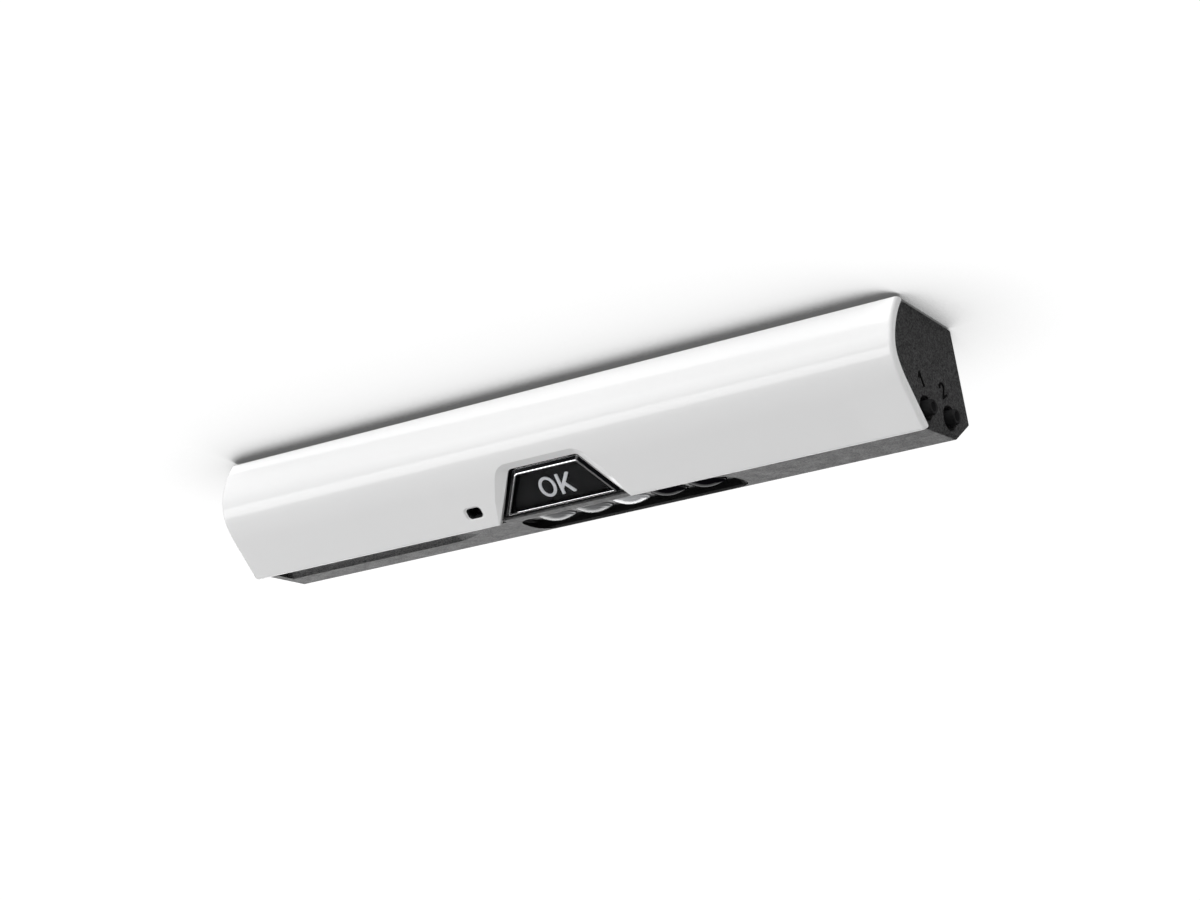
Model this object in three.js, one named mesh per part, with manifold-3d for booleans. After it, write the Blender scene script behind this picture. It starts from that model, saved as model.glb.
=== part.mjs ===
// Sensor bar that opens an automatic door, hung under a ceiling or a lintel.
// Millimetres. X runs along the bar, Y to the back, Z up. Z = 0 is the ceiling.
import * as THREE from 'three';
import { mergeVertices } from 'three/addons/utils/BufferGeometryUtils.js';
import Module from 'manifold-3d';

const wasm = await Module();
wasm.setup();

// Overall sizes
const COVER_LENGTH = 300;
const COVER_WALL = 3;
const COVER_EDGE = 1.2;
const HOUSING_WALL = 2.2;
const END_INSET_LEFT = 3;
const END_INSET_RIGHT = 1.5;
const CEILING_GAP = 0.6;
const FIT = 0.3;

// Cover section: tangent arcs from the top edge down to the flat flank.
// Angles lean from the vertical, in degrees.
const COVER_TOP_Y = -23.9;
const COVER_TOP_Z = -1.3;
const COVER_ARCS = [
  { radius: 32, from: 33, to: 5 },
  { radius: 16, from: 5, to: -36 },
  { radius: 36, from: -36, to: -48.6 },
];
const FLANK_LENGTH = 18.1;
const ARC_STEP = 4.2;

// Housing section: a leaning back, a chamfer and a bottom that rises to the back
const TOP_FRONT_Y = -16.8;
const TOP_BACK_Y = 16.2;
const BACK_LOW_Y = 27.1;
const BACK_LOW_Z = -32.4;
const BOTTOM_BACK_Y = 17.6;
const BOTTOM_BACK_Z = -40.3;
const BOTTOM_FRONT_Y = -4.2;
const BOTTOM_FRONT_Z = -42.5;
const HOUSING_EDGE = 0.8;
const HOUSING_END_EDGE = 0.5;
const COVER_SEAT = COVER_WALL + 0.4;
// Steps in and down from the top front corner, behind the cover's lip
const SHOULDER = [{ y: 1.9, z: 1.2 }, { y: 2.6, z: 2.5 }];
const SHOULDER_LOW = -5;
// How far the leaning walls draw in the corners of the hollow
const HOLLOW_FOOT = 0.6;
const HOLLOW_BACK = 0.3;
const HOLLOW_RISE = 0.8;
const PAST = 1;

// Mounting plate and its screws
const PLATE_THICK = 1.5;
const PLATE_LENGTH = COVER_LENGTH - 32;
const PLATE_WIDTH = 26;
const PLATE_SCREW_X = COVER_LENGTH / 2 - 55;
const PLATE_SLOT_X = COVER_LENGTH / 2 - 90;
const SLOT_HALF = 3;
const SLOT_R = 2.5;
const SLOT_ACCESS_R = 5.5;
const SCREW_M4 = 2;
const SCREW_M4_HEAD = 3.8;
const SCREW_M4_HEAD_HIGH = 2.4;
const SCREW_M25 = 1.25;
const SCREW_M25_HEAD = 2.5;
const SCREW_M25_HEAD_HIGH = 1.6;
const SCREW_M2 = 1;
const SCREW_M2_HEAD = 2;
const SCREW_M2_HEAD_HIGH = 1.3;
const SMALL_SHANK = 5.5;
const BOARD_SHANK = 6.5;
const HOLE_SIDES = 12;
const SCREW_SIDES = 12;
const CABLE_X = 28 - COVER_LENGTH / 2;
const CABLE_Y = -6;
const CABLE_R = 4.5;
const GROMMET_WALL = 2;
const GROMMET_FLANGE = 1.8;
const GROMMET_DROP = 2.4;
const GROMMET_TOP = -0.5;

// Cover hinge, along the top edge
const HINGE_Y = -21.3;
const HINGE_Z = -2.6;
const BEAD_R = 1.1;
const BEAD_CLEAR = 0.4;
const NECK_THICK = 1.4;
const KNUCKLE_WIDTH = 12;
const KNUCKLE_X = COVER_LENGTH / 3;
const LIP_SWEEP = 1.85;

// Display window, in the flank: t runs up the flank, w outwards
const WINDOW_FOOT = 2.4;
const WINDOW_DEPTH = 1.0;
const WINDOW_TILT = 5;
const WINDOW_HALF_FOOT = 26.6;
const WINDOW_HALF_HEAD = 14.6;
const WINDOW_HEIGHT = 17.4;
const WINDOW_THICK = 3;
const WINDOW_BEVEL = 1.7;
const OPENING_MARGIN = 1.4;
const PANEL_GAP = 0.7;
const PANEL_THICK = 2.1;
const PANEL_HALF_FOOT = WINDOW_HALF_FOOT - 3;
const PANEL_HALF_HEAD = WINDOW_HALF_HEAD - 1.2;
const PANEL_LOW = 0.7;
const PANEL_HIGH = WINDOW_HEIGHT - 2.8;
const WINDOW_CORNER = 2.2;
const BEVEL_FOOT_SHARE = 0.35;
const FLARE = 4.4;
const FLARE_FOOT_SHARE = 0.05;
const FLARE_SIDE_SHARE = 0.75;
const FLARE_HEAD_SHARE = 0.62;
const OPENING_CORNER = 2.6;
const SILL_REACH = 1.6;
const SILL_BACK_Y = BOTTOM_FRONT_Y + 1.2;
const LETTER_O_X = -4.6;
const LETTER_O_HALF = 3.7;
const LETTER_K_X = 0.9;
const BOARD_THICK = 1.6;
const LETTER_HIGH = 8.2;
const LETTER_FOOT = 3.1;
const LETTER_LINE = 1.35;
const DISPLAY_SCREW_X = WINDOW_HALF_FOOT - 1.3;
const RADAR_X = COVER_LENGTH / 2 - 68;
const RADAR_SCREW_X = 13.5;
const BOARD_HEAD = WINDOW_HEIGHT + 4.1;
const BOARD_SCREW_DROP = 2.8;
const HANGER_HALF = 2.5;
const HANGER_BACK = -6;
const HANGER_LOW = -34;
const RADAR_HALF = 18;
const ANTENNA_HALF = 10.5;
const ANTENNA_LOW = 4.5;
const ANTENNA_HIGH = 17;
const PATCH_X = 5.2;
const PATCH_HALF = 3.6;

// Small receiver hole in the flank
const RECEIVER_X = -WINDOW_HALF_FOOT - 10.9;
const RECEIVER_UP = 7.2;
const RECEIVER_WIDTH = 5.6;
const RECEIVER_HEIGHT = 3.8;
const RECEIVER_CORNER = 1.3;
const RECEIVER_FLARE = 1.3;
const RECEIVER_BLOCK = 3.4;

// Catches that hold the cover's lower edge
const CATCH_X = [RECEIVER_X, PLATE_SCREW_X];
const CATCH_HALF = 3.2;
const CATCH_LOW = 1.2;
const CATCH_HIGH = 3.2;
const CATCH_REACH = 1.4;
const NOTCH_CLEAR = 0.8;
const NOTCH_BELOW = 1;
const NOTCH_ABOVE = 1.4;
const NOTCH_DEEP = 1.2;

// Lens recess and optics: v runs back along the lens plane, h up from it
const LENS_COUNT = 5;
const LENS_PITCH = 16.6;
const LENS_R = 6.9;
const LENS_TILT = 11;
const LENS_ROW_X = 20.4;
const LENS_ROW_Y = 6.4;
const LENS_ROW_Z = -39.9;
const LENS_CLEAR = 0.35;
const LENS_SIDES = 24;
const FLANGE_R = LENS_R + 1;
const RECESS_ROOF = 0.6;
const RECESS_SIDE = 13.6;
const RECESS_FRONT = 9.4;
const RECESS_BACK = 10.3;
const RECESS_CORNER = 7;
const RECESS_DRAFT = 2.4;
const PAD_TOP = 4.2;
const PAD_SIDE = 2;
const PAD_FRONT = 0.7;
const PAD_DOWN = 6;
const OPTICS_FOOT = 5.7;
const OPTICS_TOP = 10;
const OPTICS_HALF_DEPTH = LENS_R + 1.6;
const BAFFLE_R = LENS_R - 1.1;
const LENS_DOME = 1.1;
const FLANGE_THICK = 0.8;
const OPTICS_SCREW_INSET = 1.8;
const OPTICS_SCREW_V = -5;
const DIODE_R = 2.3;
const DIODE_RIM = 2.8;
const CLEAR_LENSES = 3;

// Finger groove under the cover's lower edge
const GROOVE_R = 16;
const GROOVE_Y = -0.5;
const GROOVE_TOP = -39.6;
const GROOVE_END = WINDOW_HALF_FOOT + 15.4;
const GROOVE_TAPER = 16;
const GROOVE_INSET = 4;
const GROOVE_SHRINK = 3.4;
const GROOVE_SIDES = 64;
const GROOVE_PAD_FRONT = -8;
const GROOVE_PAD_BACK = 8.5;
const GROOVE_PAD_HIGH = 2;

// Push buttons in the right end
const BUTTONS = [
  { y: -3.5, z: -35.2 },
  { y: 12.8, z: -33.9 },
];
const BUTTON_R = 2.8;
const BUTTON_PROUD = 3;
const BUTTON_SIDES = 20;
const BUTTON_TRAVEL = 0.8;
const POCKET_R = BUTTON_R + 1.7;
const POCKET_DEPTH = 5;
const BOSS_R = POCKET_R + 1.7;
const BOSS_FLOOR = 2.2;
const STEM_R = 1.5;
const STOP_R = STEM_R + 1.1;
const STOP_THICK = 1;
const PLUNGER_R = STEM_R - FIT;
const SWITCH_SIZE = 6;
const SWITCH_DEPTH = 3.4;
const SWITCH_BOARD_LOW = -38;
const SWITCH_BOARD_HIGH = -28.5;
const SWITCH_BOARD_MARGIN = 4;
const RAIL_WALL = 2.4;
const RAIL_FRONT = 3;
const RAIL_BACK = 7;
const DIGIT_HEIGHT = 5.6;
const DIGIT_LEAN = 37.5;
const DIGIT_LINE = 0.7;
const PRINT_THICK = 0.25;

// Main board
const BOARD_Y = TOP_BACK_Y - HOUSING_WALL - 5;
const BOARD_TOP_Z = -6.5;
const BOARD_LOW_Z = -25.8;
const BOARD_LEFT = 10 - COVER_LENGTH / 2;
const BOARD_RIGHT = COVER_LENGTH / 2 - 26;
const BOARD_SCREW_INSET = 6;
const BOARD_SCREW_SHARES = [0.36, 0.68];
const STANDOFF_R = 3;
const TERMINAL_COUNT = 5;
const TERMINAL_PITCH = 5;
const TERMINAL_INSET = 13;
const TERMINAL_DEEP = 9;
// Blocks on the board: share of its length, width, low and high edges, height off the board
const BOARD_BLOCKS = [
  { name: 'relay_1', share: 0.22, width: 18, low: -21, high: -11, deep: 9 },
  { name: 'relay_2', share: 0.3, width: 9, low: -23, high: -9, deep: 9 },
  { name: 'processor', share: 0.55, width: 12, low: -22, high: -10, deep: 1.4 },
  { name: 'ribbon_socket', share: 0.45, width: 10, low: -12, high: -8.5, deep: 4 },
];
const CAN_SHARES = [0.76, 0.84];
const CAN_R = 5;
const CAN_HIGH = 10;
const CAN_Z = -16;

const LEFT = END_INSET_LEFT - COVER_LENGTH / 2;
const RIGHT = COVER_LENGTH / 2 - END_INSET_RIGHT;
const FAR = 60;
const rad = THREE.MathUtils.degToRad;

const opener = new THREE.Group();
opener.name = 'door_opener_sensor_bar';

// ---------- solids ----------

function toManifold(geometry) {
  let g = geometry.clone();
  g.deleteAttribute('normal');
  g.deleteAttribute('uv');
  g = mergeVertices(g, 1e-4);
  const mesh = new wasm.Mesh({
    numProp: 3,
    vertProperties: new Float32Array(g.attributes.position.array),
    triVerts: new Uint32Array(g.index.array),
  });
  return new wasm.Manifold(mesh);
}

function toGeometry(manifold) {
  const mesh = manifold.getMesh();
  const g = new THREE.BufferGeometry();
  g.setAttribute('position', new THREE.BufferAttribute(new Float32Array(mesh.vertProperties), 3));
  g.setIndex(new THREE.BufferAttribute(new Uint32Array(mesh.triVerts), 1));
  g.computeVertexNormals();
  return g;
}

function union(...solids) {
  return solids.reduce((all, one) => all.add(one));
}

function cut(solid, ...tools) {
  return tools.reduce((rest, tool) => rest.subtract(tool), solid);
}

function add(name, solid, material) {
  const mesh = new THREE.Mesh(toGeometry(solid), material.clone());
  mesh.name = name;
  opener.add(mesh);
}

function box(x0, x1, y0, y1, z0, z1) {
  const g = new THREE.BoxGeometry(x1 - x0, y1 - y0, z1 - z0);
  g.translate((x0 + x1) / 2, (y0 + y1) / 2, (z0 + z1) / 2);
  return toManifold(g);
}

// Prism of a (Y, Z) outline from x0 to x1
function prismX(points, x0, x1) {
  const shape = new THREE.Shape(points.map((p) => new THREE.Vector2(p.y, p.z)));
  const g = new THREE.ExtrudeGeometry(shape, { depth: x1 - x0, bevelEnabled: false, curveSegments: 8 });
  return toManifold(layYZ(g, x0));
}

// Same prism with rounded edges all round both end faces
function roundedPrismX(points, x0, x1, edge) {
  const shape = new THREE.Shape(points.map((p) => new THREE.Vector2(p.y, p.z)));
  const g = new THREE.ExtrudeGeometry(shape, {
    depth: x1 - x0 - 2 * edge,
    bevelEnabled: true,
    bevelThickness: edge,
    bevelSize: edge,
    bevelOffset: -edge,
    bevelSegments: 2,
    curveSegments: 8,
  });
  return toManifold(layYZ(g, x0 + edge));
}

function layYZ(geometry, x0) {
  const m = new THREE.Matrix4().makeBasis(
    new THREE.Vector3(0, 1, 0),
    new THREE.Vector3(0, 0, 1),
    new THREE.Vector3(1, 0, 0),
  );
  geometry.applyMatrix4(m);
  geometry.translate(x0, 0, 0);
  return geometry;
}

function cylinderX(y, z, r0, r1, x0, x1, segments = 24) {
  const g = new THREE.CylinderGeometry(r1, r0, x1 - x0, segments);
  g.rotateZ(-Math.PI / 2);
  g.translate((x0 + x1) / 2, y, z);
  return toManifold(g);
}

function cylinderY(x, z, r, y0, y1, segments = 24) {
  const g = new THREE.CylinderGeometry(r, r, y1 - y0, segments);
  g.translate(x, (y0 + y1) / 2, z);
  return toManifold(g);
}

function cylinderZ(x, y, r, z0, z1, segments = 24) {
  const g = new THREE.CylinderGeometry(r, r, z1 - z0, segments);
  g.rotateX(Math.PI / 2);
  g.translate(x, y, (z0 + z1) / 2);
  return toManifold(g);
}

// Turned piece about local Z; the profile runs from axis to axis
function turned(profile, segments = 32) {
  const g = new THREE.LatheGeometry(profile.map(([r, z]) => new THREE.Vector2(r, z)), segments);
  g.rotateX(Math.PI / 2);
  return g;
}

// Closed skin between loops that all have the same number of points
function loft(loops) {
  const count = loops[0].length;
  const positions = loops.flat().flatMap((p) => [p.x, p.y, p.z]);
  const index = [];
  for (let k = 0; k < loops.length - 1; k += 1) {
    for (let i = 0; i < count; i += 1) {
      const a = k * count + i;
      const b = k * count + ((i + 1) % count);
      index.push(a, b, b + count, a, b + count, a + count);
    }
  }
  const flat = loops[0].map((p) => new THREE.Vector2(p.x, p.y));
  const top = (loops.length - 1) * count;
  THREE.ShapeUtils.triangulateShape(flat, []).forEach(([a, b, c]) => {
    index.push(c, b, a, top + a, top + b, top + c);
  });
  const g = new THREE.BufferGeometry();
  g.setAttribute('position', new THREE.Float32BufferAttribute(positions, 3));
  g.setIndex(index);
  return g;
}

// ---------- outlines ----------

// Rounds each corner that has a radius
function rounded(points, steps = 3) {
  return points.flatMap((p, i) => {
    if (!p.r) return [{ y: p.y, z: p.z }];
    const before = points[(i + points.length - 1) % points.length];
    const after = points[(i + 1) % points.length];
    const corner = new THREE.Vector2(p.y, p.z);
    const a = new THREE.Vector2(before.y, before.z).sub(corner).normalize();
    const b = new THREE.Vector2(after.y, after.z).sub(corner).normalize();
    const half = Math.acos(THREE.MathUtils.clamp(a.dot(b), -1, 1)) / 2;
    const start = corner.clone().addScaledVector(a, p.r / Math.tan(half));
    const end = corner.clone().addScaledVector(b, p.r / Math.tan(half));
    const centre = corner.clone().addScaledVector(a.clone().add(b).normalize(), p.r / Math.sin(half));
    return arcBetween(centre, start, end, p.r, steps);
  });
}

function arcBetween(centre, start, end, r, steps) {
  const from = Math.atan2(start.y - centre.y, start.x - centre.x);
  let sweep = Math.atan2(end.y - centre.y, end.x - centre.x) - from;
  if (sweep > Math.PI) sweep -= 2 * Math.PI;
  if (sweep < -Math.PI) sweep += 2 * Math.PI;
  return Array.from({ length: steps + 1 }, (_, k) => {
    const angle = from + (sweep * k) / steps;
    return { y: centre.x + r * Math.cos(angle), z: centre.y + r * Math.sin(angle) };
  });
}

// Outline in a working plane, as x and y, with rounded corners
function roundedPlane(points, steps = 3) {
  return rounded(points.map((p) => ({ y: p.x, z: p.y, r: p.r })), steps).map((p) => ({ x: p.y, y: p.z }));
}

// Points down the cover's outer face, each with its lean from the vertical
function coverCurve() {
  const curve = [{ y: COVER_TOP_Y, z: COVER_TOP_Z, lean: COVER_ARCS[0].from }];
  COVER_ARCS.forEach((arc) => {
    const start = curve[curve.length - 1];
    const steps = Math.ceil((arc.from - arc.to) / ARC_STEP);
    for (let k = 1; k <= steps; k += 1) {
      const lean = arc.from + ((arc.to - arc.from) * k) / steps;
      const y = start.y + arc.radius * (Math.cos(rad(arc.from)) - Math.cos(rad(lean)));
      const z = start.z + arc.radius * (Math.sin(rad(lean)) - Math.sin(rad(arc.from)));
      curve.push({ y, z, lean });
    }
  });
  const last = curve[curve.length - 1];
  const y = last.y - FLANK_LENGTH * Math.sin(rad(last.lean));
  const z = last.z - FLANK_LENGTH * Math.cos(rad(last.lean));
  curve.push({ y, z, lean: last.lean });
  return curve;
}

const COVER_CURVE = coverCurve();
const FOOT = COVER_CURVE[COVER_CURVE.length - 1];
const FLANK_RISE = 90 + FOOT.lean;

// The cover's face moved inwards, carried up to the top edge
function coverInset(depth, topZ = COVER_TOP_Z) {
  const moved = COVER_CURVE.map((p) => ({
    y: p.y + depth * Math.cos(rad(p.lean)),
    z: p.z - depth * Math.sin(rad(p.lean)),
  }));
  const lean = COVER_CURVE[0].lean;
  const rise = topZ - moved[0].z;
  return [{ y: moved[0].y + rise * Math.tan(rad(lean)), z: topZ }, ...moved];
}

// ---------- working planes ----------

// Flank plane: x along the bar, y up the flank from its foot, z outwards
function flankMatrix() {
  const up = new THREE.Vector3(0, -Math.cos(rad(FLANK_RISE)), Math.sin(rad(FLANK_RISE)));
  const along = new THREE.Vector3(1, 0, 0);
  const out = along.clone().cross(up);
  const m = new THREE.Matrix4().makeBasis(along, up, out);
  return m.setPosition(0, FOOT.y, FOOT.z);
}

// Window plane: leans a little deeper towards its head
function windowMatrix() {
  const shift = new THREE.Matrix4().makeTranslation(0, WINDOW_FOOT, -WINDOW_DEPTH);
  const tilt = new THREE.Matrix4().makeRotationX(-rad(WINDOW_TILT));
  return flankMatrix().multiply(shift).multiply(tilt);
}

// Lens plane: x along the bar, y to the back, z up
function lensMatrix(x = LENS_ROW_X) {
  const m = new THREE.Matrix4().makeRotationX(rad(LENS_TILT));
  return m.setPosition(x, LENS_ROW_Y, LENS_ROW_Z);
}

// Point of the YZ section, by its way up the flank and its depth behind it
function flankPoint(up, depth) {
  const c = Math.cos(rad(FLANK_RISE));
  const s = Math.sin(rad(FLANK_RISE));
  return { y: FOOT.y - up * c + depth * s, z: FOOT.z + up * s + depth * c };
}

function placed(geometry, matrix) {
  const g = geometry.clone();
  g.applyMatrix4(matrix);
  return toManifold(g);
}

function placedBox(matrix, x0, x1, y0, y1, z0, z1) {
  const g = new THREE.BoxGeometry(x1 - x0, y1 - y0, z1 - z0);
  g.translate((x0 + x1) / 2, (y0 + y1) / 2, (z0 + z1) / 2);
  return placed(g, matrix);
}

function placedRod(matrix, x, y, r, z0, z1, segments = 20) {
  const g = new THREE.CylinderGeometry(r, r, z1 - z0, segments);
  g.rotateX(Math.PI / 2);
  g.translate(x, y, (z0 + z1) / 2);
  return placed(g, matrix);
}

// Screw with a pan head above z = 0 and its shank below, in a working plane
function panScrew(r, headR, headHigh, shank) {
  const slot = r * 0.35;
  const body = turned([
    [0, -shank], [r, -shank], [r, 0], [headR, 0],
    [headR, headHigh * 0.6], [headR * 0.75, headHigh], [0, headHigh],
  ], SCREW_SIDES);
  const groove = new THREE.BoxGeometry(headR * 1.5, slot, headHigh);
  groove.translate(0, 0, headHigh);
  return { body, groove };
}

function placedScrew(matrix, r, headR, headHigh, shank) {
  const { body, groove } = panScrew(r, headR, headHigh, shank);
  return placed(body, matrix).subtract(placed(groove, matrix));
}

// ---------- materials ----------

function surface(color, roughness, metalness = 0) {
  return new THREE.MeshStandardMaterial({ color, roughness, metalness });
}

const white = surface(0xf4f4f4, 0.22);
const charcoal = surface(0x3a3a3b, 0.75);
const black = surface(0x0b0b0c, 0.45);
const panelBlack = surface(0x0a0a0b, 0.3);
const letterGrey = surface(0xa9adb2, 0.5);
const acrylic = surface(0xdde2e6, 0.05);
const lensClear = surface(0xc9ced2, 0.08);
const lensDark = surface(0x1b1a1e, 0.1);
const zinc = surface(0xb9bcbf, 0.35, 1);
const steel = surface(0x9a9da1, 0.3, 1);
const boardGreen = surface(0x1e5a36, 0.5);
const terminalGreen = surface(0x3f9a58, 0.5);
const relayBlue = surface(0x20242b, 0.4);
const capBlack = surface(0x23262c, 0.35);
const chip = surface(0x141416, 0.5);
const rubber = surface(0x202022, 0.85);
const gold = surface(0xd8c27a, 0.35, 1);
const diodeGlass = surface(0x8c7f9c, 0.1);

// ---------- housing ----------

function housingOutline() {
  const low = BOTTOM_FRONT_Z + HOUSING_END_EDGE;
  const inset = coverInset(COVER_SEAT).filter((p) => p.z < SHOULDER_LOW && p.z > low);
  return rounded([
    ...inset,
    { y: BOTTOM_FRONT_Y, z: BOTTOM_FRONT_Z },
    { y: BOTTOM_BACK_Y, z: BOTTOM_BACK_Z, r: HOUSING_EDGE },
    { y: BACK_LOW_Y, z: BACK_LOW_Z, r: HOUSING_EDGE },
    { y: TOP_BACK_Y, z: -CEILING_GAP, r: HOUSING_EDGE },
    { y: TOP_FRONT_Y, z: -CEILING_GAP },
    ...SHOULDER.map((p) => ({ y: TOP_FRONT_Y - p.y, z: -CEILING_GAP - p.z })),
  ]);
}

// Hollow of the housing, open to the front where the cover closes it
function hollowOutline() {
  const w = HOUSING_WALL;
  return [
    { y: -FAR, z: BOTTOM_FRONT_Z + w },
    { y: BOTTOM_FRONT_Y, z: BOTTOM_FRONT_Z + w },
    { y: BOTTOM_BACK_Y - HOLLOW_FOOT, z: BOTTOM_BACK_Z + w },
    { y: BACK_LOW_Y - w - HOLLOW_BACK, z: BACK_LOW_Z + HOLLOW_RISE },
    { y: TOP_BACK_Y - w, z: topWallLow() },
    { y: -FAR, z: topWallLow() },
  ];
}

function topWallLow() {
  return -PLATE_THICK - FIT - HOUSING_WALL;
}

function housingBlank() {
  return roundedPrismX(housingOutline(), LEFT, RIGHT, HOUSING_END_EDGE);
}

function housingShell(blank) {
  const hollow = prismX(hollowOutline(), LEFT + HOUSING_WALL, RIGHT - HOUSING_WALL);
  const low = topWallLow() - PAST;
  const topFront = box(LEFT + HOUSING_WALL, RIGHT - HOUSING_WALL, -FAR, TOP_FRONT_Y, low, PAST);
  return cut(blank, hollow, topFront);
}

// Thick pads that the lens recess and the finger groove are sunk into
function housingPads() {
  const side = recessHalf() + PAD_SIDE;
  const lensPad = placedBox(lensMatrix(), -side, side, -RECESS_FRONT - PAD_FRONT, RECESS_BACK + HOUSING_WALL,
    -PAD_DOWN, PAD_TOP);
  const groovePad = box(LEFT + PAST, -GROOVE_END, GROOVE_PAD_FRONT, GROOVE_PAD_BACK,
    BOTTOM_FRONT_Z - PAST, GROOVE_TOP + GROOVE_PAD_HIGH);
  return union(lensPad, groovePad);
}

// Upright hangers that the tilted boards are screwed to
function hanger(x) {
  const plate = box(x - HANGER_HALF, x + HANGER_HALF, TOP_FRONT_Y + FIT, HANGER_BACK,
    HANGER_LOW, topWallLow() + HOUSING_WALL / 4);
  return plate.subtract(placedBox(windowMatrix(), -FAR * 3, FAR * 3, -FAR, FAR, -hangerDepth(), FAR));
}

function boardFront() {
  return WINDOW_THICK + PANEL_GAP + PANEL_THICK + FIT;
}

function hangerDepth() {
  return boardFront() + BOARD_THICK + FIT;
}

function standoffs() {
  const y0 = BOARD_Y + BOARD_THICK + FIT;
  return boardScrewX().map((x) => cylinderY(x, boardScrewZ(), STANDOFF_R, y0, FAR));
}

function boardScrewX() {
  const span = BOARD_RIGHT - BOARD_LEFT;
  const middle = BOARD_SCREW_SHARES.map((share) => BOARD_LEFT + span * share);
  return [BOARD_LEFT + BOARD_SCREW_INSET, ...middle, BOARD_RIGHT - BOARD_SCREW_INSET];
}

function boardScrewZ() {
  return (BOARD_TOP_Z + BOARD_LOW_Z) / 2;
}

function knuckles() {
  return [-KNUCKLE_X, 0, KNUCKLE_X].map((x) => {
    const x0 = x - KNUCKLE_WIDTH / 2;
    const x1 = x + KNUCKLE_WIDTH / 2;
    const bead = cylinderX(HINGE_Y, HINGE_Z, BEAD_R, BEAD_R, x0, x1, 12);
    const neckLow = HINGE_Z - NECK_THICK / 2;
    return bead.add(box(x0, x1, HINGE_Y, TOP_FRONT_Y + 1, neckLow, neckLow + NECK_THICK));
  });
}

// Ledge under the window that fills the cover's cut-out
function windowSill() {
  const half = WINDOW_HALF_FOOT + SILL_REACH;
  const outline = [
    flankPoint(WINDOW_FOOT - 0.6, WINDOW_DEPTH + 0.4),
    flankPoint(WINDOW_FOOT - 1.3, WINDOW_DEPTH + 0.5),
    { y: SILL_BACK_Y, z: bottomZ(SILL_BACK_Y) },
    { y: SILL_BACK_Y, z: BOTTOM_FRONT_Z + HOUSING_WALL + 0.4 },
    flankPoint(WINDOW_FOOT - 0.9, WINDOW_DEPTH + WINDOW_THICK + 1),
  ];
  return prismX(outline, -half, half);
}

// Height of the bottom face, which rises to the back
function bottomZ(y) {
  const slope = (BOTTOM_BACK_Z - BOTTOM_FRONT_Z) / (BOTTOM_BACK_Y - BOTTOM_FRONT_Y);
  return BOTTOM_FRONT_Z + slope * (y - BOTTOM_FRONT_Y);
}

// Room for the window's lower edge in the front of the bottom wall
function windowSeat() {
  const half = WINDOW_HALF_FOOT + FIT;
  const low = -WINDOW_THICK - FIT;
  return placedBox(windowMatrix(), -half, half, -FIT, WINDOW_HEIGHT, low, WINDOW_DEPTH + PAST);
}

function buttonBosses() {
  const x1 = RIGHT - PAST;
  return BUTTONS.map((b) => cylinderX(b.y, b.z, BOSS_R, BOSS_R, bossBack(), x1));
}

function bossBack() {
  return RIGHT - POCKET_DEPTH - BOSS_FLOOR;
}

function switchBoardRails() {
  const x = switchBoardX();
  const rail = box(x - RAIL_WALL, x + BOARD_THICK + RAIL_WALL, RAIL_FRONT, RAIL_BACK,
    BOTTOM_FRONT_Z + HOUSING_WALL / 2, SWITCH_BOARD_LOW + BOARD_THICK);
  const slot = box(x - FIT, x + BOARD_THICK + FIT, RAIL_FRONT - PAST, RAIL_BACK + PAST,
    SWITCH_BOARD_LOW - FIT, 0);
  return rail.subtract(slot);
}

function buttonHoles() {
  return BUTTONS.flatMap((b) => [
    cylinderX(b.y, b.z, POCKET_R, POCKET_R, RIGHT - POCKET_DEPTH, RIGHT + PAST),
    cylinderX(b.y, b.z, STEM_R + FIT, STEM_R + FIT, bossBack() - PAST, RIGHT),
  ]);
}

function recessHalf() {
  return (LENS_PITCH * (LENS_COUNT - 1)) / 2 + RECESS_SIDE;
}

// Boat-shaped recess: wide at the bottom face and drawn in towards its roof
function recessTool() {
  const loop = (inset, z) => roundedPlane([
    { x: -recessHalf() + inset, y: -RECESS_FRONT + inset * 0.4, r: RECESS_CORNER - inset },
    { x: recessHalf() - inset, y: -RECESS_FRONT + inset * 0.4, r: RECESS_CORNER - inset },
    { x: recessHalf() - inset, y: RECESS_BACK - inset, r: RECESS_CORNER - inset },
    { x: -recessHalf() + inset, y: RECESS_BACK - inset, r: RECESS_CORNER - inset },
  ], 6).map((p) => new THREE.Vector3(p.x, p.y, z));
  const foot = loop(RECESS_DRAFT * 0.35, -0.5);
  const loops = [loop(0, -8), loop(0, -1.6), foot, loop(RECESS_DRAFT, RECESS_ROOF)];
  return placed(loft(loops), lensMatrix());
}

function lensX(i) {
  return LENS_ROW_X + (i - (LENS_COUNT - 1) / 2) * LENS_PITCH;
}

function lensHoles() {
  return Array.from({ length: LENS_COUNT }, (_, i) => placedRod(lensMatrix(lensX(i)), 0, 0,
    LENS_R + LENS_CLEAR, -2, PAD_TOP + 3, LENS_SIDES));
}

function grooveTool() {
  const z = GROOVE_TOP - GROOVE_R;
  const knee = -GROOVE_END - GROOVE_TAPER;
  const end = GROOVE_INSET - GROOVE_END;
  const small = GROOVE_R - GROOVE_SHRINK;
  const straight = cylinderX(GROOVE_Y, z, GROOVE_R, GROOVE_R, LEFT + GROOVE_INSET, knee, GROOVE_SIDES);
  const taper = cylinderX(GROOVE_Y, z, GROOVE_R, small, knee - 0.01, end, GROOVE_SIDES);
  return union(straight, taper);
}

function catchNotch() {
  const half = CATCH_HALF + NOTCH_CLEAR;
  return CATCH_X.map((x) => placedBox(flankMatrix(), x - half, x + half, CATCH_LOW - NOTCH_BELOW,
    CATCH_HIGH + NOTCH_ABOVE, -COVER_WALL - CATCH_REACH - NOTCH_DEEP, PAST - COVER_WALL));
}

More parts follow.
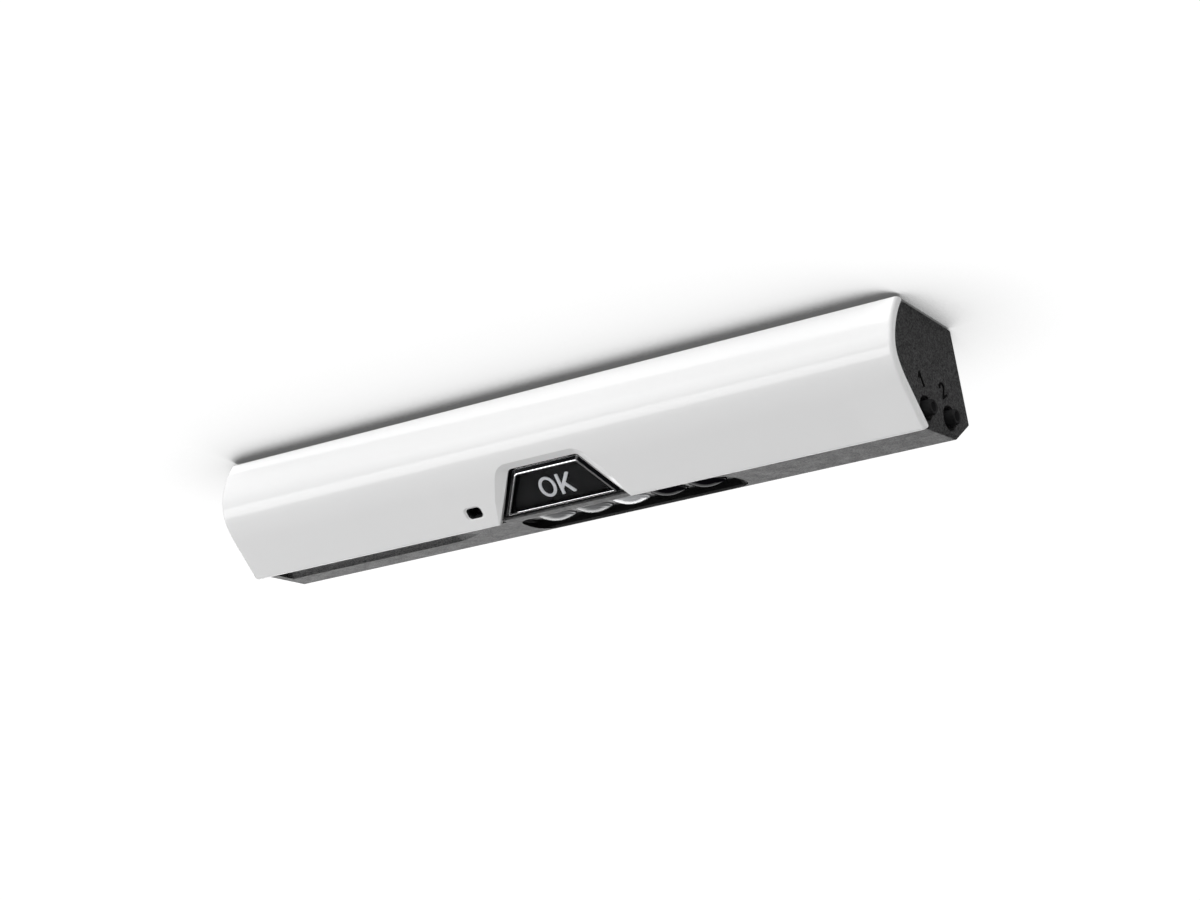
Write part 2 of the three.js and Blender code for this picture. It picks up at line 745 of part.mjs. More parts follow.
function plateRebate() {
  const x = PLATE_LENGTH / 2 + FIT;
  const y = PLATE_WIDTH / 2 + FIT;
  return box(-x, x, -y, y, -PLATE_THICK - FIT, PAST);
}

// Holes in the top wall, for the heads of the screws in the plate's slots
function slotAccess() {
  return [-PLATE_SLOT_X, PLATE_SLOT_X].map((x) => cylinderZ(x, 0, SLOT_ACCESS_R, topCutLow(), PAST));
}

function topCutLow() {
  return topWallLow() - PAST * 5;
}

function plateScrewHoles(z0) {
  return [-PLATE_SCREW_X, PLATE_SCREW_X].map((x) => cylinderZ(x, 0, SCREW_M4 + FIT, z0, PAST));
}

function cableHole(z0) {
  return cylinderZ(CABLE_X, CABLE_Y, CABLE_R + GROMMET_WALL, z0, PAST);
}

function makeHousing() {
  const blank = housingBlank();
  const inner = union(housingPads(), ...hangerScrewX().map(hanger), ...standoffs(), ...buttonBosses(),
    switchBoardRails());
  const solid = union(housingShell(blank), inner.intersect(blank), windowSill());
  const sweep = cylinderX(HINGE_Y, HINGE_Z, LIP_SWEEP, LIP_SWEEP, LEFT - PAST, RIGHT + PAST, 24);
  const body = cut(solid, sweep, windowSeat(), recessTool(), ...lensHoles(), grooveTool(), ...catchNotch(),
    plateRebate(),
    ...buttonHoles(), ...boardScrewHoles(), ...hangerScrewHoles(),
    ...plateScrewHoles(topCutLow()), ...slotAccess(), cableHole(topCutLow()));
  add('housing', union(body, ...knuckles()), charcoal);
}

function boardScrewHoles() {
  const y1 = BOARD_Y + BOARD_THICK + SMALL_SHANK;
  return boardScrewX().map((x) => cylinderY(x, boardScrewZ(), SCREW_M25 + FIT, 0, y1, HOLE_SIDES));
}

function hangerScrewX() {
  return [-DISPLAY_SCREW_X, DISPLAY_SCREW_X, RADAR_X - RADAR_SCREW_X, RADAR_X + RADAR_SCREW_X];
}

function hangerScrewHoles() {
  const low = -hangerDepth() - SMALL_SHANK;
  const r = SCREW_M2 + FIT;
  const up = tiltedScrewUp();
  return hangerScrewX().map((x) => placedRod(windowMatrix(), x, up, r, low, 0, HOLE_SIDES));
}

function tiltedScrewUp() {
  return BOARD_HEAD - BOARD_SCREW_DROP;
}

// ---------- mounting plate ----------

function makePlate() {
  const x = PLATE_LENGTH / 2;
  const y = PLATE_WIDTH / 2;
  const low = -PLATE_THICK - PAST;
  const slots = [-PLATE_SLOT_X, PLATE_SLOT_X].map((c) => union(
    box(c - SLOT_HALF, c + SLOT_HALF, -SLOT_R, SLOT_R, low, PAST),
    cylinderZ(c - SLOT_HALF, 0, SLOT_R, low, PAST),
    cylinderZ(c + SLOT_HALF, 0, SLOT_R, low, PAST),
  ));
  const plate = cut(box(-x, x, -y, y, -PLATE_THICK, 0), ...slots, ...plateScrewHoles(low), cableHole(low));
  add('mounting_plate', plate, zinc);
}

function makePlateScrews() {
  [-PLATE_SCREW_X, PLATE_SCREW_X].forEach((x, i) => {
    const down = new THREE.Matrix4().makeRotationX(Math.PI).setPosition(x, 0, topWallLow() - FIT);
    const shank = HOUSING_WALL + FIT + PLATE_THICK;
    const screw = placedScrew(down, SCREW_M4, SCREW_M4_HEAD, SCREW_M4_HEAD_HIGH, shank);
    add(`plate_screw_${i + 1}`, screw, steel);
  });
}

function makeGrommet() {
  const low = topWallLow();
  const r = CABLE_R + GROMMET_WALL - FIT;
  const foot = low - GROMMET_DROP;
  const ring = turned([
    [CABLE_R, foot], [r + GROMMET_FLANGE, foot], [r + GROMMET_FLANGE, low - FIT], [r, low - FIT],
    [r, GROMMET_TOP], [CABLE_R, GROMMET_TOP], [CABLE_R, foot],
  ]);
  ring.translate(CABLE_X, CABLE_Y, 0);
  add('cable_grommet', toManifold(ring), rubber);
}

// ---------- cover ----------

function coverSection() {
  const inner = coverInset(COVER_WALL).reverse();
  const outer = COVER_CURVE.map((p) => ({ y: p.y, z: p.z }));
  outer[0].r = COVER_EDGE * 0.9;
  outer[outer.length - 1].r = COVER_EDGE;
  inner[0].r = COVER_EDGE / 2;
  inner[inner.length - 1].r = COVER_EDGE / 3;
  return rounded([...outer, ...inner]);
}

// Outer region of the section, closed well behind the wall
function coverRegion() {
  const outer = COVER_CURVE.map((p) => ({ y: p.y, z: p.z }));
  const back = coverInset(COVER_WALL * 4);
  return [...outer, back[back.length - 1], { y: back[0].y + COVER_WALL, z: COVER_TOP_Z }];
}

// Cut-out for the window: flared at the face, straight through the wall
function openingTool() {
  const slope = (WINDOW_HALF_FOOT - WINDOW_HALF_HEAD) / WINDOW_HEIGHT;
  const head = WINDOW_FOOT + WINDOW_HEIGHT + OPENING_MARGIN * 0.6;
  const foot = -5;
  const half = (s) => WINDOW_HALF_FOOT + OPENING_MARGIN + slope * (WINDOW_FOOT - s);
  const side = (s, flare, share) => half(s) + flare * share;
  const loop = (flare, z0, zSlope) => roundedPlane([
    { x: -side(foot, flare, FLARE_FOOT_SHARE), y: foot },
    { x: side(foot, flare, FLARE_FOOT_SHARE), y: foot },
    { x: side(0, flare, FLARE_FOOT_SHARE), y: 0 },
    { x: side(head / 2, flare, FLARE_SIDE_SHARE), y: head / 2 + flare * 0.1 },
    { x: side(head, flare, FLARE_HEAD_SHARE), y: head + flare, r: OPENING_CORNER + flare },
    { x: -side(head, flare, FLARE_HEAD_SHARE), y: head + flare, r: OPENING_CORNER + flare },
    { x: -side(head / 2, flare, FLARE_SIDE_SHARE), y: head / 2 + flare * 0.1 },
    { x: -side(0, flare, FLARE_FOOT_SHARE), y: 0 },
  ], 5).map((p) => new THREE.Vector3(p.x, p.y, z0 + zSlope * Math.max(p.y, 0)));
  const loops = [loop(0, -8, 0), loop(0, -0.4, -0.1), loop(FLARE, 0.02, 0), loop(FLARE, 4, 0)];
  return placed(loft(loops), flankMatrix());
}

function receiverTool() {
  const loop = (grow, z) => {
    const half = RECEIVER_WIDTH / 2 + grow;
    const low = RECEIVER_UP - RECEIVER_HEIGHT / 2 - grow * 0.5;
    const high = RECEIVER_UP + RECEIVER_HEIGHT / 2 + grow;
    const r = RECEIVER_CORNER + grow / 2;
    return roundedPlane([
      { x: RECEIVER_X - half, y: low, r },
      { x: RECEIVER_X + half, y: low, r },
      { x: RECEIVER_X + half, y: high, r },
      { x: RECEIVER_X - half, y: high, r },
    ], 4).map((p) => new THREE.Vector3(p.x, p.y, z));
  };
  const loops = [loop(0, -6), loop(0, -1.2), loop(RECEIVER_FLARE, 0.02), loop(RECEIVER_FLARE, 2)];
  return placed(loft(loops), flankMatrix());
}

function makeCover() {
  const half = COVER_LENGTH / 2;
  const section = prismX(coverSection(), -half, half);
  const wall = section.intersect(roundedPrismX(coverRegion(), -half, half, COVER_EDGE));
  const pockets = [-KNUCKLE_X, 0, KNUCKLE_X].map((x) => {
    const w = KNUCKLE_WIDTH / 2 + BEAD_CLEAR;
    const round = BEAD_R + BEAD_CLEAR;
    return box(x - w, x + w, HINGE_Y - round, FAR, HINGE_Z - round, PAST);
  });
  const catches = CATCH_X.map((x) => placedBox(flankMatrix(), x - CATCH_HALF, x + CATCH_HALF,
    CATCH_LOW, CATCH_HIGH, -COVER_WALL - CATCH_REACH, COVER_EDGE / 3 - COVER_WALL));
  add('front_cover', union(cut(wall, ...pockets, openingTool()), ...catches).subtract(receiverTool()), white);
}

// ---------- display ----------

function trapezoid(halfFoot, halfHead, y0, y1, r) {
  return roundedPlane([
    { x: -halfFoot, y: y0, r: r * 0.4 },
    { x: halfFoot, y: y0, r: r * 0.4 },
    { x: halfHead, y: y1, r },
    { x: -halfHead, y: y1, r },
  ], 4);
}

function windowLoop(inset, z) {
  const slope = (WINDOW_HALF_FOOT - WINDOW_HALF_HEAD) / WINDOW_HEIGHT;
  const side = inset * Math.hypot(1, slope);
  const low = inset * BEVEL_FOOT_SHARE;
  return trapezoid(WINDOW_HALF_FOOT - side - low * slope, WINDOW_HALF_HEAD - side + inset * slope,
    low, WINDOW_HEIGHT - inset, WINDOW_CORNER).map((p) => new THREE.Vector3(p.x, p.y, z));
}

function makeWindow() {
  const shoulder = windowLoop(0, -WINDOW_BEVEL * 0.7);
  const loops = [windowLoop(0, -WINDOW_THICK), shoulder, windowLoop(WINDOW_BEVEL, 0)];
  add('display_window', placed(loft(loops), windowMatrix()), acrylic);
}

function makePanel() {
  const front = -WINDOW_THICK - PANEL_GAP;
  const outline = trapezoid(PANEL_HALF_FOOT, PANEL_HALF_HEAD, PANEL_LOW, PANEL_HIGH, 0.6);
  const loop = (z) => outline.map((p) => new THREE.Vector3(p.x, p.y, z));
  add('display_panel', placed(loft([loop(front - PANEL_THICK), loop(front)]), windowMatrix()), panelBlack);
}

// Solid of a broken line with a width, in a working plane
function stroke(points, width, z0, z1) {
  const path = points.map(([x, y]) => new THREE.Vector2(x, y));
  const sideOf = (sign) => path.map((p, i) => {
    const a = path[Math.max(i - 1, 0)];
    const b = path[Math.min(i + 1, path.length - 1)];
    const inDir = p.clone().sub(a).normalize();
    const outDir = b.clone().sub(p).normalize();
    const along = i === 0 ? outDir : i === path.length - 1 ? inDir : inDir.clone().add(outDir).normalize();
    const ref = i === 0 ? outDir : inDir;
    const miter = Math.min(1 / Math.max(along.dot(ref), 0.3), 1.6);
    return new THREE.Vector2(-along.y, along.x).multiplyScalar((sign * width * miter) / 2).add(p);
  });
  const shape = new THREE.Shape([...sideOf(1), ...sideOf(-1).reverse()]);
  const g = new THREE.ExtrudeGeometry(shape, { depth: z1 - z0, bevelEnabled: false });
  g.translate(0, 0, z0);
  return g;
}

function makeLetters() {
  const z0 = -WINDOW_THICK - PANEL_GAP + 0.1;
  const z1 = z0 + PRINT_THICK;
  const mid = LETTER_FOOT + LETTER_HIGH / 2;
  const ring = new THREE.Shape();
  ring.absellipse(LETTER_O_X, mid, LETTER_O_HALF, LETTER_HIGH / 2, 0, Math.PI * 2);
  const hole = new THREE.Path();
  const high = LETTER_HIGH / 2 - LETTER_LINE * 0.85;
  hole.absellipse(LETTER_O_X, mid, LETTER_O_HALF - LETTER_LINE, high, 0, Math.PI * 2);
  ring.holes.push(hole);
  const o = new THREE.ExtrudeGeometry(ring, { depth: z1 - z0, bevelEnabled: false, curveSegments: 12 });
  o.translate(0, 0, z0);
  add('letter_o', placed(o, windowMatrix()), letterGrey);
  const head = LETTER_FOOT + LETTER_HIGH;
  const x = LETTER_K_X;
  const stem = stroke([[x, LETTER_FOOT], [x, head]], LETTER_LINE, z0, z1);
  const arm = stroke([[x + 0.3, LETTER_FOOT + 2.4], [x + 5, head]], LETTER_LINE, z0, z1);
  const leg = stroke([[x + 1.7, LETTER_FOOT + 4.4], [x + 5.3, LETTER_FOOT]], LETTER_LINE, z0, z1);
  const band = placedBox(windowMatrix(), -FAR, FAR, LETTER_FOOT, head, z0 - 1, z1 + 1);
  const k = union(...[stem, arm, leg].map((g) => placed(g, windowMatrix())));
  add('letter_k', k.intersect(band), letterGrey);
}

function tiltedBoard(name, x0, x1, y0) {
  const front = -boardFront();
  const m = windowMatrix();
  const r = SCREW_M2 + FIT;
  const up = tiltedScrewUp();
  const holes = hangerScrewX().map((x) => placedRod(m, x, up, r, front - 3, front + PAST, HOLE_SIDES));
  const board = placedBox(m, x0, x1, y0, BOARD_HEAD, front - BOARD_THICK, front);
  add(name, cut(board, ...holes), boardGreen);
}

function makeTiltedBoards() {
  tiltedBoard('display_board', RECEIVER_X - 6, 30, 4.5);
  tiltedBoard('radar_board', RADAR_X - RADAR_HALF, RADAR_X + RADAR_HALF, 3);
  hangerScrewX().forEach((x, i) => {
    const shift = new THREE.Matrix4().makeTranslation(x, tiltedScrewUp(), FIT - boardFront());
    const m = windowMatrix().multiply(shift);
    const screw = placedScrew(m, SCREW_M2, SCREW_M2_HEAD, SCREW_M2_HEAD_HIGH, SMALL_SHANK);
    add(`hanger_screw_${i + 1}`, screw, steel);
  });
}

// Receiver behind the small hole: a block with a bulging face
function makeReceiver() {
  const m = windowMatrix();
  const up = RECEIVER_UP - WINDOW_FOOT;
  const half = RECEIVER_BLOCK;
  const back = FIT - boardFront();
  const front = -WINDOW_THICK - PANEL_GAP - 0.2;
  const block = placedBox(m, RECEIVER_X - half, RECEIVER_X + half, up - 3, up + half, back, front);
  const bulge = placedRod(m, RECEIVER_X, up, 2.4, front - FIT, -WINDOW_THICK);
  add('ir_receiver', union(block, bulge), black);
}

function makeRadar() {
  const m = windowMatrix();
  const front = -boardFront() + FIT;
  const base = placedBox(m, RADAR_X - ANTENNA_HALF, RADAR_X + ANTENNA_HALF, ANTENNA_LOW, ANTENNA_HIGH,
    front, front + 1);
  const low = ANTENNA_LOW + 2.5;
  const high = ANTENNA_HIGH - 2.5;
  const across = [RADAR_X - PATCH_X, RADAR_X + PATCH_X];
  const patches = across.map((x) => placedBox(m, x - PATCH_HALF, x + PATCH_HALF,
    low, high, front + 0.9, front + 1.4));
  add('radar_antenna', union(base, ...patches), gold);
}

// ---------- optics ----------

function lensGeometry() {
  const points = [[0, -LENS_DOME]];
  for (let k = 1; k <= 3; k += 1) {
    points.push([((LENS_R - 0.4) * k) / 3, -LENS_DOME * (1 - (k / 3) ** 2)]);
  }
  const seat = PAD_TOP + FIT;
  const back = seat + FLANGE_THICK;
  points.push([LENS_R, 0.3], [LENS_R, seat], [FLANGE_R, seat], [FLANGE_R, back], [0, back]);
  return turned(points, LENS_SIDES);
}

function makeLenses() {
  for (let i = 0; i < LENS_COUNT; i += 1) {
    const material = i < CLEAR_LENSES ? lensClear : lensDark;
    add(`lens_${i + 1}`, placed(lensGeometry(), lensMatrix(lensX(i))), material);
  }
}

function opticsHalf() {
  return (LENS_PITCH * (LENS_COUNT - 1)) / 2 + FLANGE_R + SCREW_M2 * 2 + 2 * FIT;
}

function makeOptics() {
  const m = lensMatrix();
  const d = OPTICS_HALF_DEPTH;
  const x = opticsHalf();
  const holes = Array.from({ length: LENS_COUNT }, (_, i) => placedRod(lensMatrix(lensX(i)), 0, 0,
    BAFFLE_R, OPTICS_FOOT - PAST, OPTICS_TOP + PAST, 16));
  const screws = [OPTICS_SCREW_INSET - x, x - OPTICS_SCREW_INSET];
  const bores = screws.map((sx) => placedRod(m, sx, OPTICS_SCREW_V, SCREW_M2 + FIT,
    OPTICS_FOOT - PAST, OPTICS_TOP + 3, HOLE_SIDES));
  add('optics_block', cut(placedBox(m, -x, x, -d, d, OPTICS_FOOT, OPTICS_TOP), ...holes, ...bores), black);
  const low = OPTICS_TOP + FIT;
  add('optics_board', cut(placedBox(m, -x, x, -d, d, low, low + BOARD_THICK), ...bores), boardGreen);
  screws.forEach((sx, i) => {
    const shift = new THREE.Matrix4().makeTranslation(0, OPTICS_SCREW_V, low + BOARD_THICK + FIT);
    const at = lensMatrix(LENS_ROW_X + sx).multiply(shift);
    const screw = placedScrew(at, SCREW_M2, SCREW_M2_HEAD, SCREW_M2_HEAD_HIGH, SMALL_SHANK);
    add(`optics_screw_${i + 1}`, screw, steel);
  });
  for (let i = 0; i < LENS_COUNT; i += 1) makeDiode(i, low);
}

function makeDiode(i, low) {
  const back = low - FIT;
  const body = turned([
    [0, OPTICS_FOOT + 0.6], [DIODE_R * 0.7, OPTICS_FOOT + 1.1], [DIODE_R, OPTICS_FOOT + 2.4],
    [DIODE_R, back - 0.8], [DIODE_RIM, back - 0.8], [DIODE_RIM, back], [0, back],
  ], 12);
  add(`diode_${i + 1}`, placed(body, lensMatrix(lensX(i))), diodeGlass);
}

// ---------- main board ----------

function makeMainBoard() {
  const z = boardScrewZ();
  const r = SCREW_M25 + FIT;
  const holes = boardScrewX().map((x) => cylinderY(x, z, r, BOARD_Y - PAST, BOARD_Y + 3, HOLE_SIDES));
  const board = box(BOARD_LEFT, BOARD_RIGHT, BOARD_Y, BOARD_Y + BOARD_THICK, BOARD_LOW_Z, BOARD_TOP_Z);
  add('main_board', cut(board, ...holes), boardGreen);
  boardScrewX().forEach((x, i) => {
    const m = new THREE.Matrix4().makeRotationX(Math.PI / 2).setPosition(x, BOARD_Y - FIT, z);
    const screw = placedScrew(m, SCREW_M25, SCREW_M25_HEAD, SCREW_M25_HEAD_HIGH, BOARD_SHANK);
    add(`board_screw_${i + 1}`, screw, steel);
  });
}

// Terminal block with wire mouths below and screw wells in front
function makeTerminals() {
  const x0 = BOARD_LEFT + TERMINAL_INSET;
  const y0 = BOARD_Y - FIT - TERMINAL_DEEP;
  const block = box(x0, x0 + TERMINAL_PITCH * TERMINAL_COUNT + 1, y0, BOARD_Y - FIT, -21, -11);
  const wells = Array.from({ length: TERMINAL_COUNT }, (_, i) => {
    const x = x0 + 0.5 + TERMINAL_PITCH * (i + 0.5);
    const mouth = box(x - 1.6, x + 1.6, y0 + 2, y0 + 5.4, -22, -17);
    return union(cylinderY(x, -14, 1.7, y0 - PAST, y0 + 4, 10), mouth);
  });
  add('terminal_block', cut(block, ...wells), terminalGreen);
}

function makeBoardParts() {
  const at = (share) => BOARD_LEFT + (BOARD_RIGHT - BOARD_LEFT) * share;
  const y1 = BOARD_Y - FIT;
  const finish = { relay_1: relayBlue, relay_2: relayBlue, processor: chip, ribbon_socket: black };
  BOARD_BLOCKS.forEach((b) => {
    const x = at(b.share);
    add(b.name, box(x - b.width / 2, x + b.width / 2, y1 - b.deep, y1, b.low, b.high), finish[b.name]);
  });
  CAN_SHARES.forEach((share, i) => {
    const x = at(share);
    const can = cylinderY(x, CAN_Z, CAN_R, y1 - CAN_HIGH, y1, 20);
    const ring = cylinderY(x, CAN_Z, CAN_R + PAST, y1 - 2.6, y1 - 1.8, 20);
    const core = cylinderY(x, CAN_Z, CAN_R - 0.4, y1 - 3, y1 - 1, 20);
    add(`capacitor_${i + 1}`, can.subtract(ring.subtract(core)), capBlack);
  });
}

// ---------- buttons ----------

function buttonBack() {
  return bossBack() - FIT - STOP_THICK;
}

function buttonProfile() {
  const tip = RIGHT + BUTTON_PROUD;
  const floor = RIGHT - POCKET_DEPTH + BUTTON_TRAVEL + FIT;
  return [
    [0, buttonBack()], [STOP_R, buttonBack()], [STOP_R, buttonBack() + STOP_THICK],
    [STEM_R, buttonBack() + STOP_THICK], [STEM_R, floor], [BUTTON_R, floor],
    [BUTTON_R, tip - 0.4], [BUTTON_R - 0.4, tip], [BUTTON_R - 0.9, tip],
    [BUTTON_R - 1.1, tip - 0.25], [0, tip - 0.25],
  ];
}

function alongX(y, z) {
  return new THREE.Matrix4().makeRotationY(Math.PI / 2).setPosition(0, y, z);
}

function switchFront() {
  return buttonBack() - FIT - BUTTON_TRAVEL - 0.6;
}

function switchBoardX() {
  return switchFront() - SWITCH_DEPTH - FIT - BOARD_THICK;
}

function makeButtons() {
  BUTTONS.forEach((b, i) => {
    add(`button_${i + 1}_cap`, placed(turned(buttonProfile(), BUTTON_SIDES), alongX(b.y, b.z)), black);
    const back = switchFront() - 1.6;
    const plunger = cylinderX(b.y, b.z, PLUNGER_R, PLUNGER_R, back, buttonBack() - FIT, 20);
    add(`button_${i + 1}_plunger`, plunger, rubber);
    const h = SWITCH_SIZE / 2;
    const body = box(switchFront() - SWITCH_DEPTH, switchFront(), b.y - h, b.y + h, b.z - h, b.z + h);
    const r = PLUNGER_R + 0.2;
    const bore = cylinderX(b.y, b.z, r, r, back - BUTTON_TRAVEL - 0.2, switchFront() + PAST, 20);
    add(`switch_${i + 1}`, body.subtract(bore), chip);
  });
  const x = switchBoardX();
  const y0 = BUTTONS[0].y - SWITCH_BOARD_MARGIN;
  const y1 = BUTTONS[1].y + SWITCH_BOARD_MARGIN;
  add('switch_board', box(x, x + BOARD_THICK, y0, y1, SWITCH_BOARD_LOW, SWITCH_BOARD_HIGH), boardGreen);
}

// Digit plane: on the right end, leaning towards the front
function digitMatrix(y, z) {
  const right = new THREE.Vector3(0, Math.cos(rad(DIGIT_LEAN)), Math.sin(rad(DIGIT_LEAN)));
  const up = new THREE.Vector3(0, -Math.sin(rad(DIGIT_LEAN)), Math.cos(rad(DIGIT_LEAN)));
  return new THREE.Matrix4().makeBasis(right, up, new THREE.Vector3(1, 0, 0)).setPosition(RIGHT + 0.08, y, z);
}

function makeDigits() {
  const h = DIGIT_HEIGHT;
  const one = stroke([[-1.6, h - 1.5], [0, h - 0.2], [0, 0]], DIGIT_LINE, 0, PRINT_THICK);
  add('digit_1', placed(one, digitMatrix(BUTTONS[0].y - 1.1, BUTTONS[0].z + 7.4)), black);
  const r = 1.45;
  const bow = Array.from({ length: 8 }, (_, k) => {
    const angle = rad(170 - 30 * k);
    return [r * Math.cos(angle), h - r - DIGIT_LINE / 2 + r * Math.sin(angle)];
  });
  const two = stroke([...bow, [-1.5, DIGIT_LINE / 2]], DIGIT_LINE, 0, PRINT_THICK);
  const base = stroke([[-1.75, DIGIT_LINE / 2], [1.7, DIGIT_LINE / 2]], DIGIT_LINE, 0, PRINT_THICK);
  const m = digitMatrix(BUTTONS[1].y - 2.8, BUTTONS[1].z + 6.6);
  add('digit_2', placed(two, m).add(placed(base, m)), black);
}

makePlate();
makeHousing();
makePlateScrews();
makeGrommet();
makeMainBoard();
makeTerminals();
makeBoardParts();
makeTiltedBoards();
makeReceiver();
makeRadar();
makeWindow();
makePanel();
makeLetters();
makeLenses();
makeOptics();
makeButtons();
makeDigits();
makeCover();

export default opener;
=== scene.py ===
"""Looks of the door opener sensor bar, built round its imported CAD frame.

Metres, +X along the bar to the end with the buttons, +Y to the back, +Z up into the ceiling.
Sizes named here are in millimetres and angles in degrees.
"""
import math
import random

import bmesh
import bpy
import numpy as np
from mathutils import Matrix, Vector


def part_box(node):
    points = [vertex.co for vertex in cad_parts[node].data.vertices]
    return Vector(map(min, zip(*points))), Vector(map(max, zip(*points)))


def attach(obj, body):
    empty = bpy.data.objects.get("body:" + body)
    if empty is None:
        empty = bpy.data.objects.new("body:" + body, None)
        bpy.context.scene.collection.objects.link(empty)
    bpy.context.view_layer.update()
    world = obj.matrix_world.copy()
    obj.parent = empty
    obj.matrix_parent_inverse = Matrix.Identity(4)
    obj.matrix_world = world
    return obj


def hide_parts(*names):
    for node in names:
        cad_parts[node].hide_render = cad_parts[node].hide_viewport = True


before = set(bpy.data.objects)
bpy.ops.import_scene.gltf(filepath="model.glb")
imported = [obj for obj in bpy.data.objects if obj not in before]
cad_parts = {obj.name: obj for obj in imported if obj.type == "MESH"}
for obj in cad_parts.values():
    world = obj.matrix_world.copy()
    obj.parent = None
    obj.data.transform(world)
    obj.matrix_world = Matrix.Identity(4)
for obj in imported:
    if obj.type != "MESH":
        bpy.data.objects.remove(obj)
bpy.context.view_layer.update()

MM = 0.001

# ---------- sizes shared with the CAD, in millimetres ----------

COVER_WALL = 3.0
COVER_EDGE = 1.2
COVER_TOP = (-23.9, -1.3)
COVER_ARCS = ((32.0, 33.0, 5.0), (16.0, 5.0, -36.0), (36.0, -36.0, -48.6))
FLANK_LENGTH = 18.1
HINGE = (-21.3, -2.6)
BEAD_R = 1.1
KNUCKLE_WIDTH = 12.0
KNUCKLE_X = 100.0
WINDOW_FOOT = 2.4
WINDOW_DEPTH = 1.0
WINDOW_TILT = 5.0
WINDOW_HALF_FOOT = 26.6
WINDOW_HALF_HEAD = 14.6
WINDOW_HEIGHT = 17.4
WINDOW_SLOPE = (WINDOW_HALF_FOOT - WINDOW_HALF_HEAD) / WINDOW_HEIGHT
WINDOW_THICK = 3.0
WINDOW_BEVEL = 1.7
OPENING_MARGIN = 1.4
RECEIVER = (-37.5, 7.2, 5.6, 3.8)
LENS_R = 6.9
LENS_TILT = 11.0
LENS_X = (-12.8, 3.8, 20.4, 37.0, 53.6)
LENS_Y = 6.4
LENS_Z = -39.9
PAD_TOP = 4.2
FLANGE_R = 7.9
BUTTON_R = 2.8
CATCH_X = (-37.5, 95.0)

# ---------- sizes of the visual shapes alone, in millimetres ----------

# Points of the cover's section nearer than these to a corner give way to its rounding.
OUTER_CORNER_ROOM = 2.2
INNER_CORNER_ROOM = 1.6
KNUCKLE_GAP = 0.4
# How far the blended rim of the window's opening spreads, and the share of it at the foot, sides and head.
RIM_SPREAD = 4.4
RIM_FOOT, RIM_SIDE, RIM_HEAD = 0.05, 0.75, 0.62
RIM_CORNER = 2.6
# The receiver hole's (growth, height above the cover's face), from the inside out.
RECEIVER_LIP = -0.62
RECEIVER_LEVELS = ((0, -6), (0, -1.2), (0.45, RECEIVER_LIP), (1.3, 0.02), (1.3, 2))
RECEIVER_CORNER = 1.3
CATCH_HALF_WIDTH = 3.2
LENS_DOME = 1.8
LENS_RIPPLE = 0.1
# Lenses from this number on are painted near black as painted shade, and get no ripple.
FIRST_SHADE_PAINTED_LENS = 4
CAP_LENGTH = 6.9
STEM_R = 1.5
STOP_R = 2.6


def rad(degrees):
    return math.radians(degrees)


# ---------- meshes ----------

def make_object(name, verts, faces, scale=MM):
    mesh = bpy.data.meshes.new(name)
    mesh.from_pydata([tuple(c * scale for c in v) for v in verts], [], faces)
    mesh.validate()
    mesh.update()
    obj = bpy.data.objects.new(name, mesh)
    bpy.context.scene.collection.objects.link(obj)
    return obj


def recalc(obj):
    bm = bmesh.new()
    bm.from_mesh(obj.data)
    bmesh.ops.recalc_face_normals(bm, faces=bm.faces)
    bm.to_mesh(obj.data)
    bm.free()
    return obj


def loft(name, loops):
    """Closed skin between loops that all have the same number of points."""
    count = len(loops[0])
    verts = [p for loop in loops for p in loop]
    faces = []
    for k in range(len(loops) - 1):
        for i in range(count):
            j = (i + 1) % count
            faces.append((k * count + i, k * count + j, (k + 1) * count + j, (k + 1) * count + i))
    top = (len(loops) - 1) * count
    faces.append(tuple(reversed(range(count))))
    faces.append(tuple(range(top, top + count)))
    return recalc(make_object(name, verts, faces))


def turned(name, profile, matrix, sides=64):
    """Piece turned about local Z; the profile runs from axis to axis."""
    verts, faces, rings = [], [], []
    for r, z in profile:
        if r < 1e-6:
            rings.append([len(verts)])
            verts.append(matrix @ Vector((0, 0, z)))
            continue
        ring = []
        for k in range(sides):
            a = 2 * math.pi * k / sides
            ring.append(len(verts))
            verts.append(matrix @ Vector((r * math.cos(a), r * math.sin(a), z)))
        rings.append(ring)
    for low, high in zip(rings, rings[1:]):
        for k in range(sides):
            j = (k + 1) % sides
            if len(low) == 1:
                faces.append((low[0], high[k], high[j]))
            elif len(high) == 1:
                faces.append((low[k], low[j], high[0]))
            else:
                faces.append((low[k], low[j], high[j], high[k]))
    return recalc(make_object(name, verts, faces))


def boxes(name, items, matrix=None):
    """One mesh of separate blocks, each (x0, x1, y0, y1, z0, z1)."""
    verts, faces = [], []
    for x0, x1, y0, y1, z0, z1 in items:
        base = len(verts)
        for x, y, z in ((x0, y0, z0), (x1, y0, z0), (x1, y1, z0), (x0, y1, z0),
                        (x0, y0, z1), (x1, y0, z1), (x1, y1, z1), (x0, y1, z1)):
            p = Vector((x, y, z))
            verts.append(matrix @ p if matrix else p)
        for f in ((3, 2, 1, 0), (4, 5, 6, 7), (0, 1, 5, 4), (1, 2, 6, 5), (2, 3, 7, 6), (3, 0, 4, 7)):
            faces.append(tuple(base + i for i in f))
    return recalc(make_object(name, verts, faces))


def apply_modifiers(obj):
    depsgraph = bpy.context.evaluated_depsgraph_get()
    mesh = bpy.data.meshes.new_from_object(obj.evaluated_get(depsgraph))
    obj.modifiers.clear()
    old = obj.data
    obj.data = mesh
    bpy.data.meshes.remove(old)
    return obj


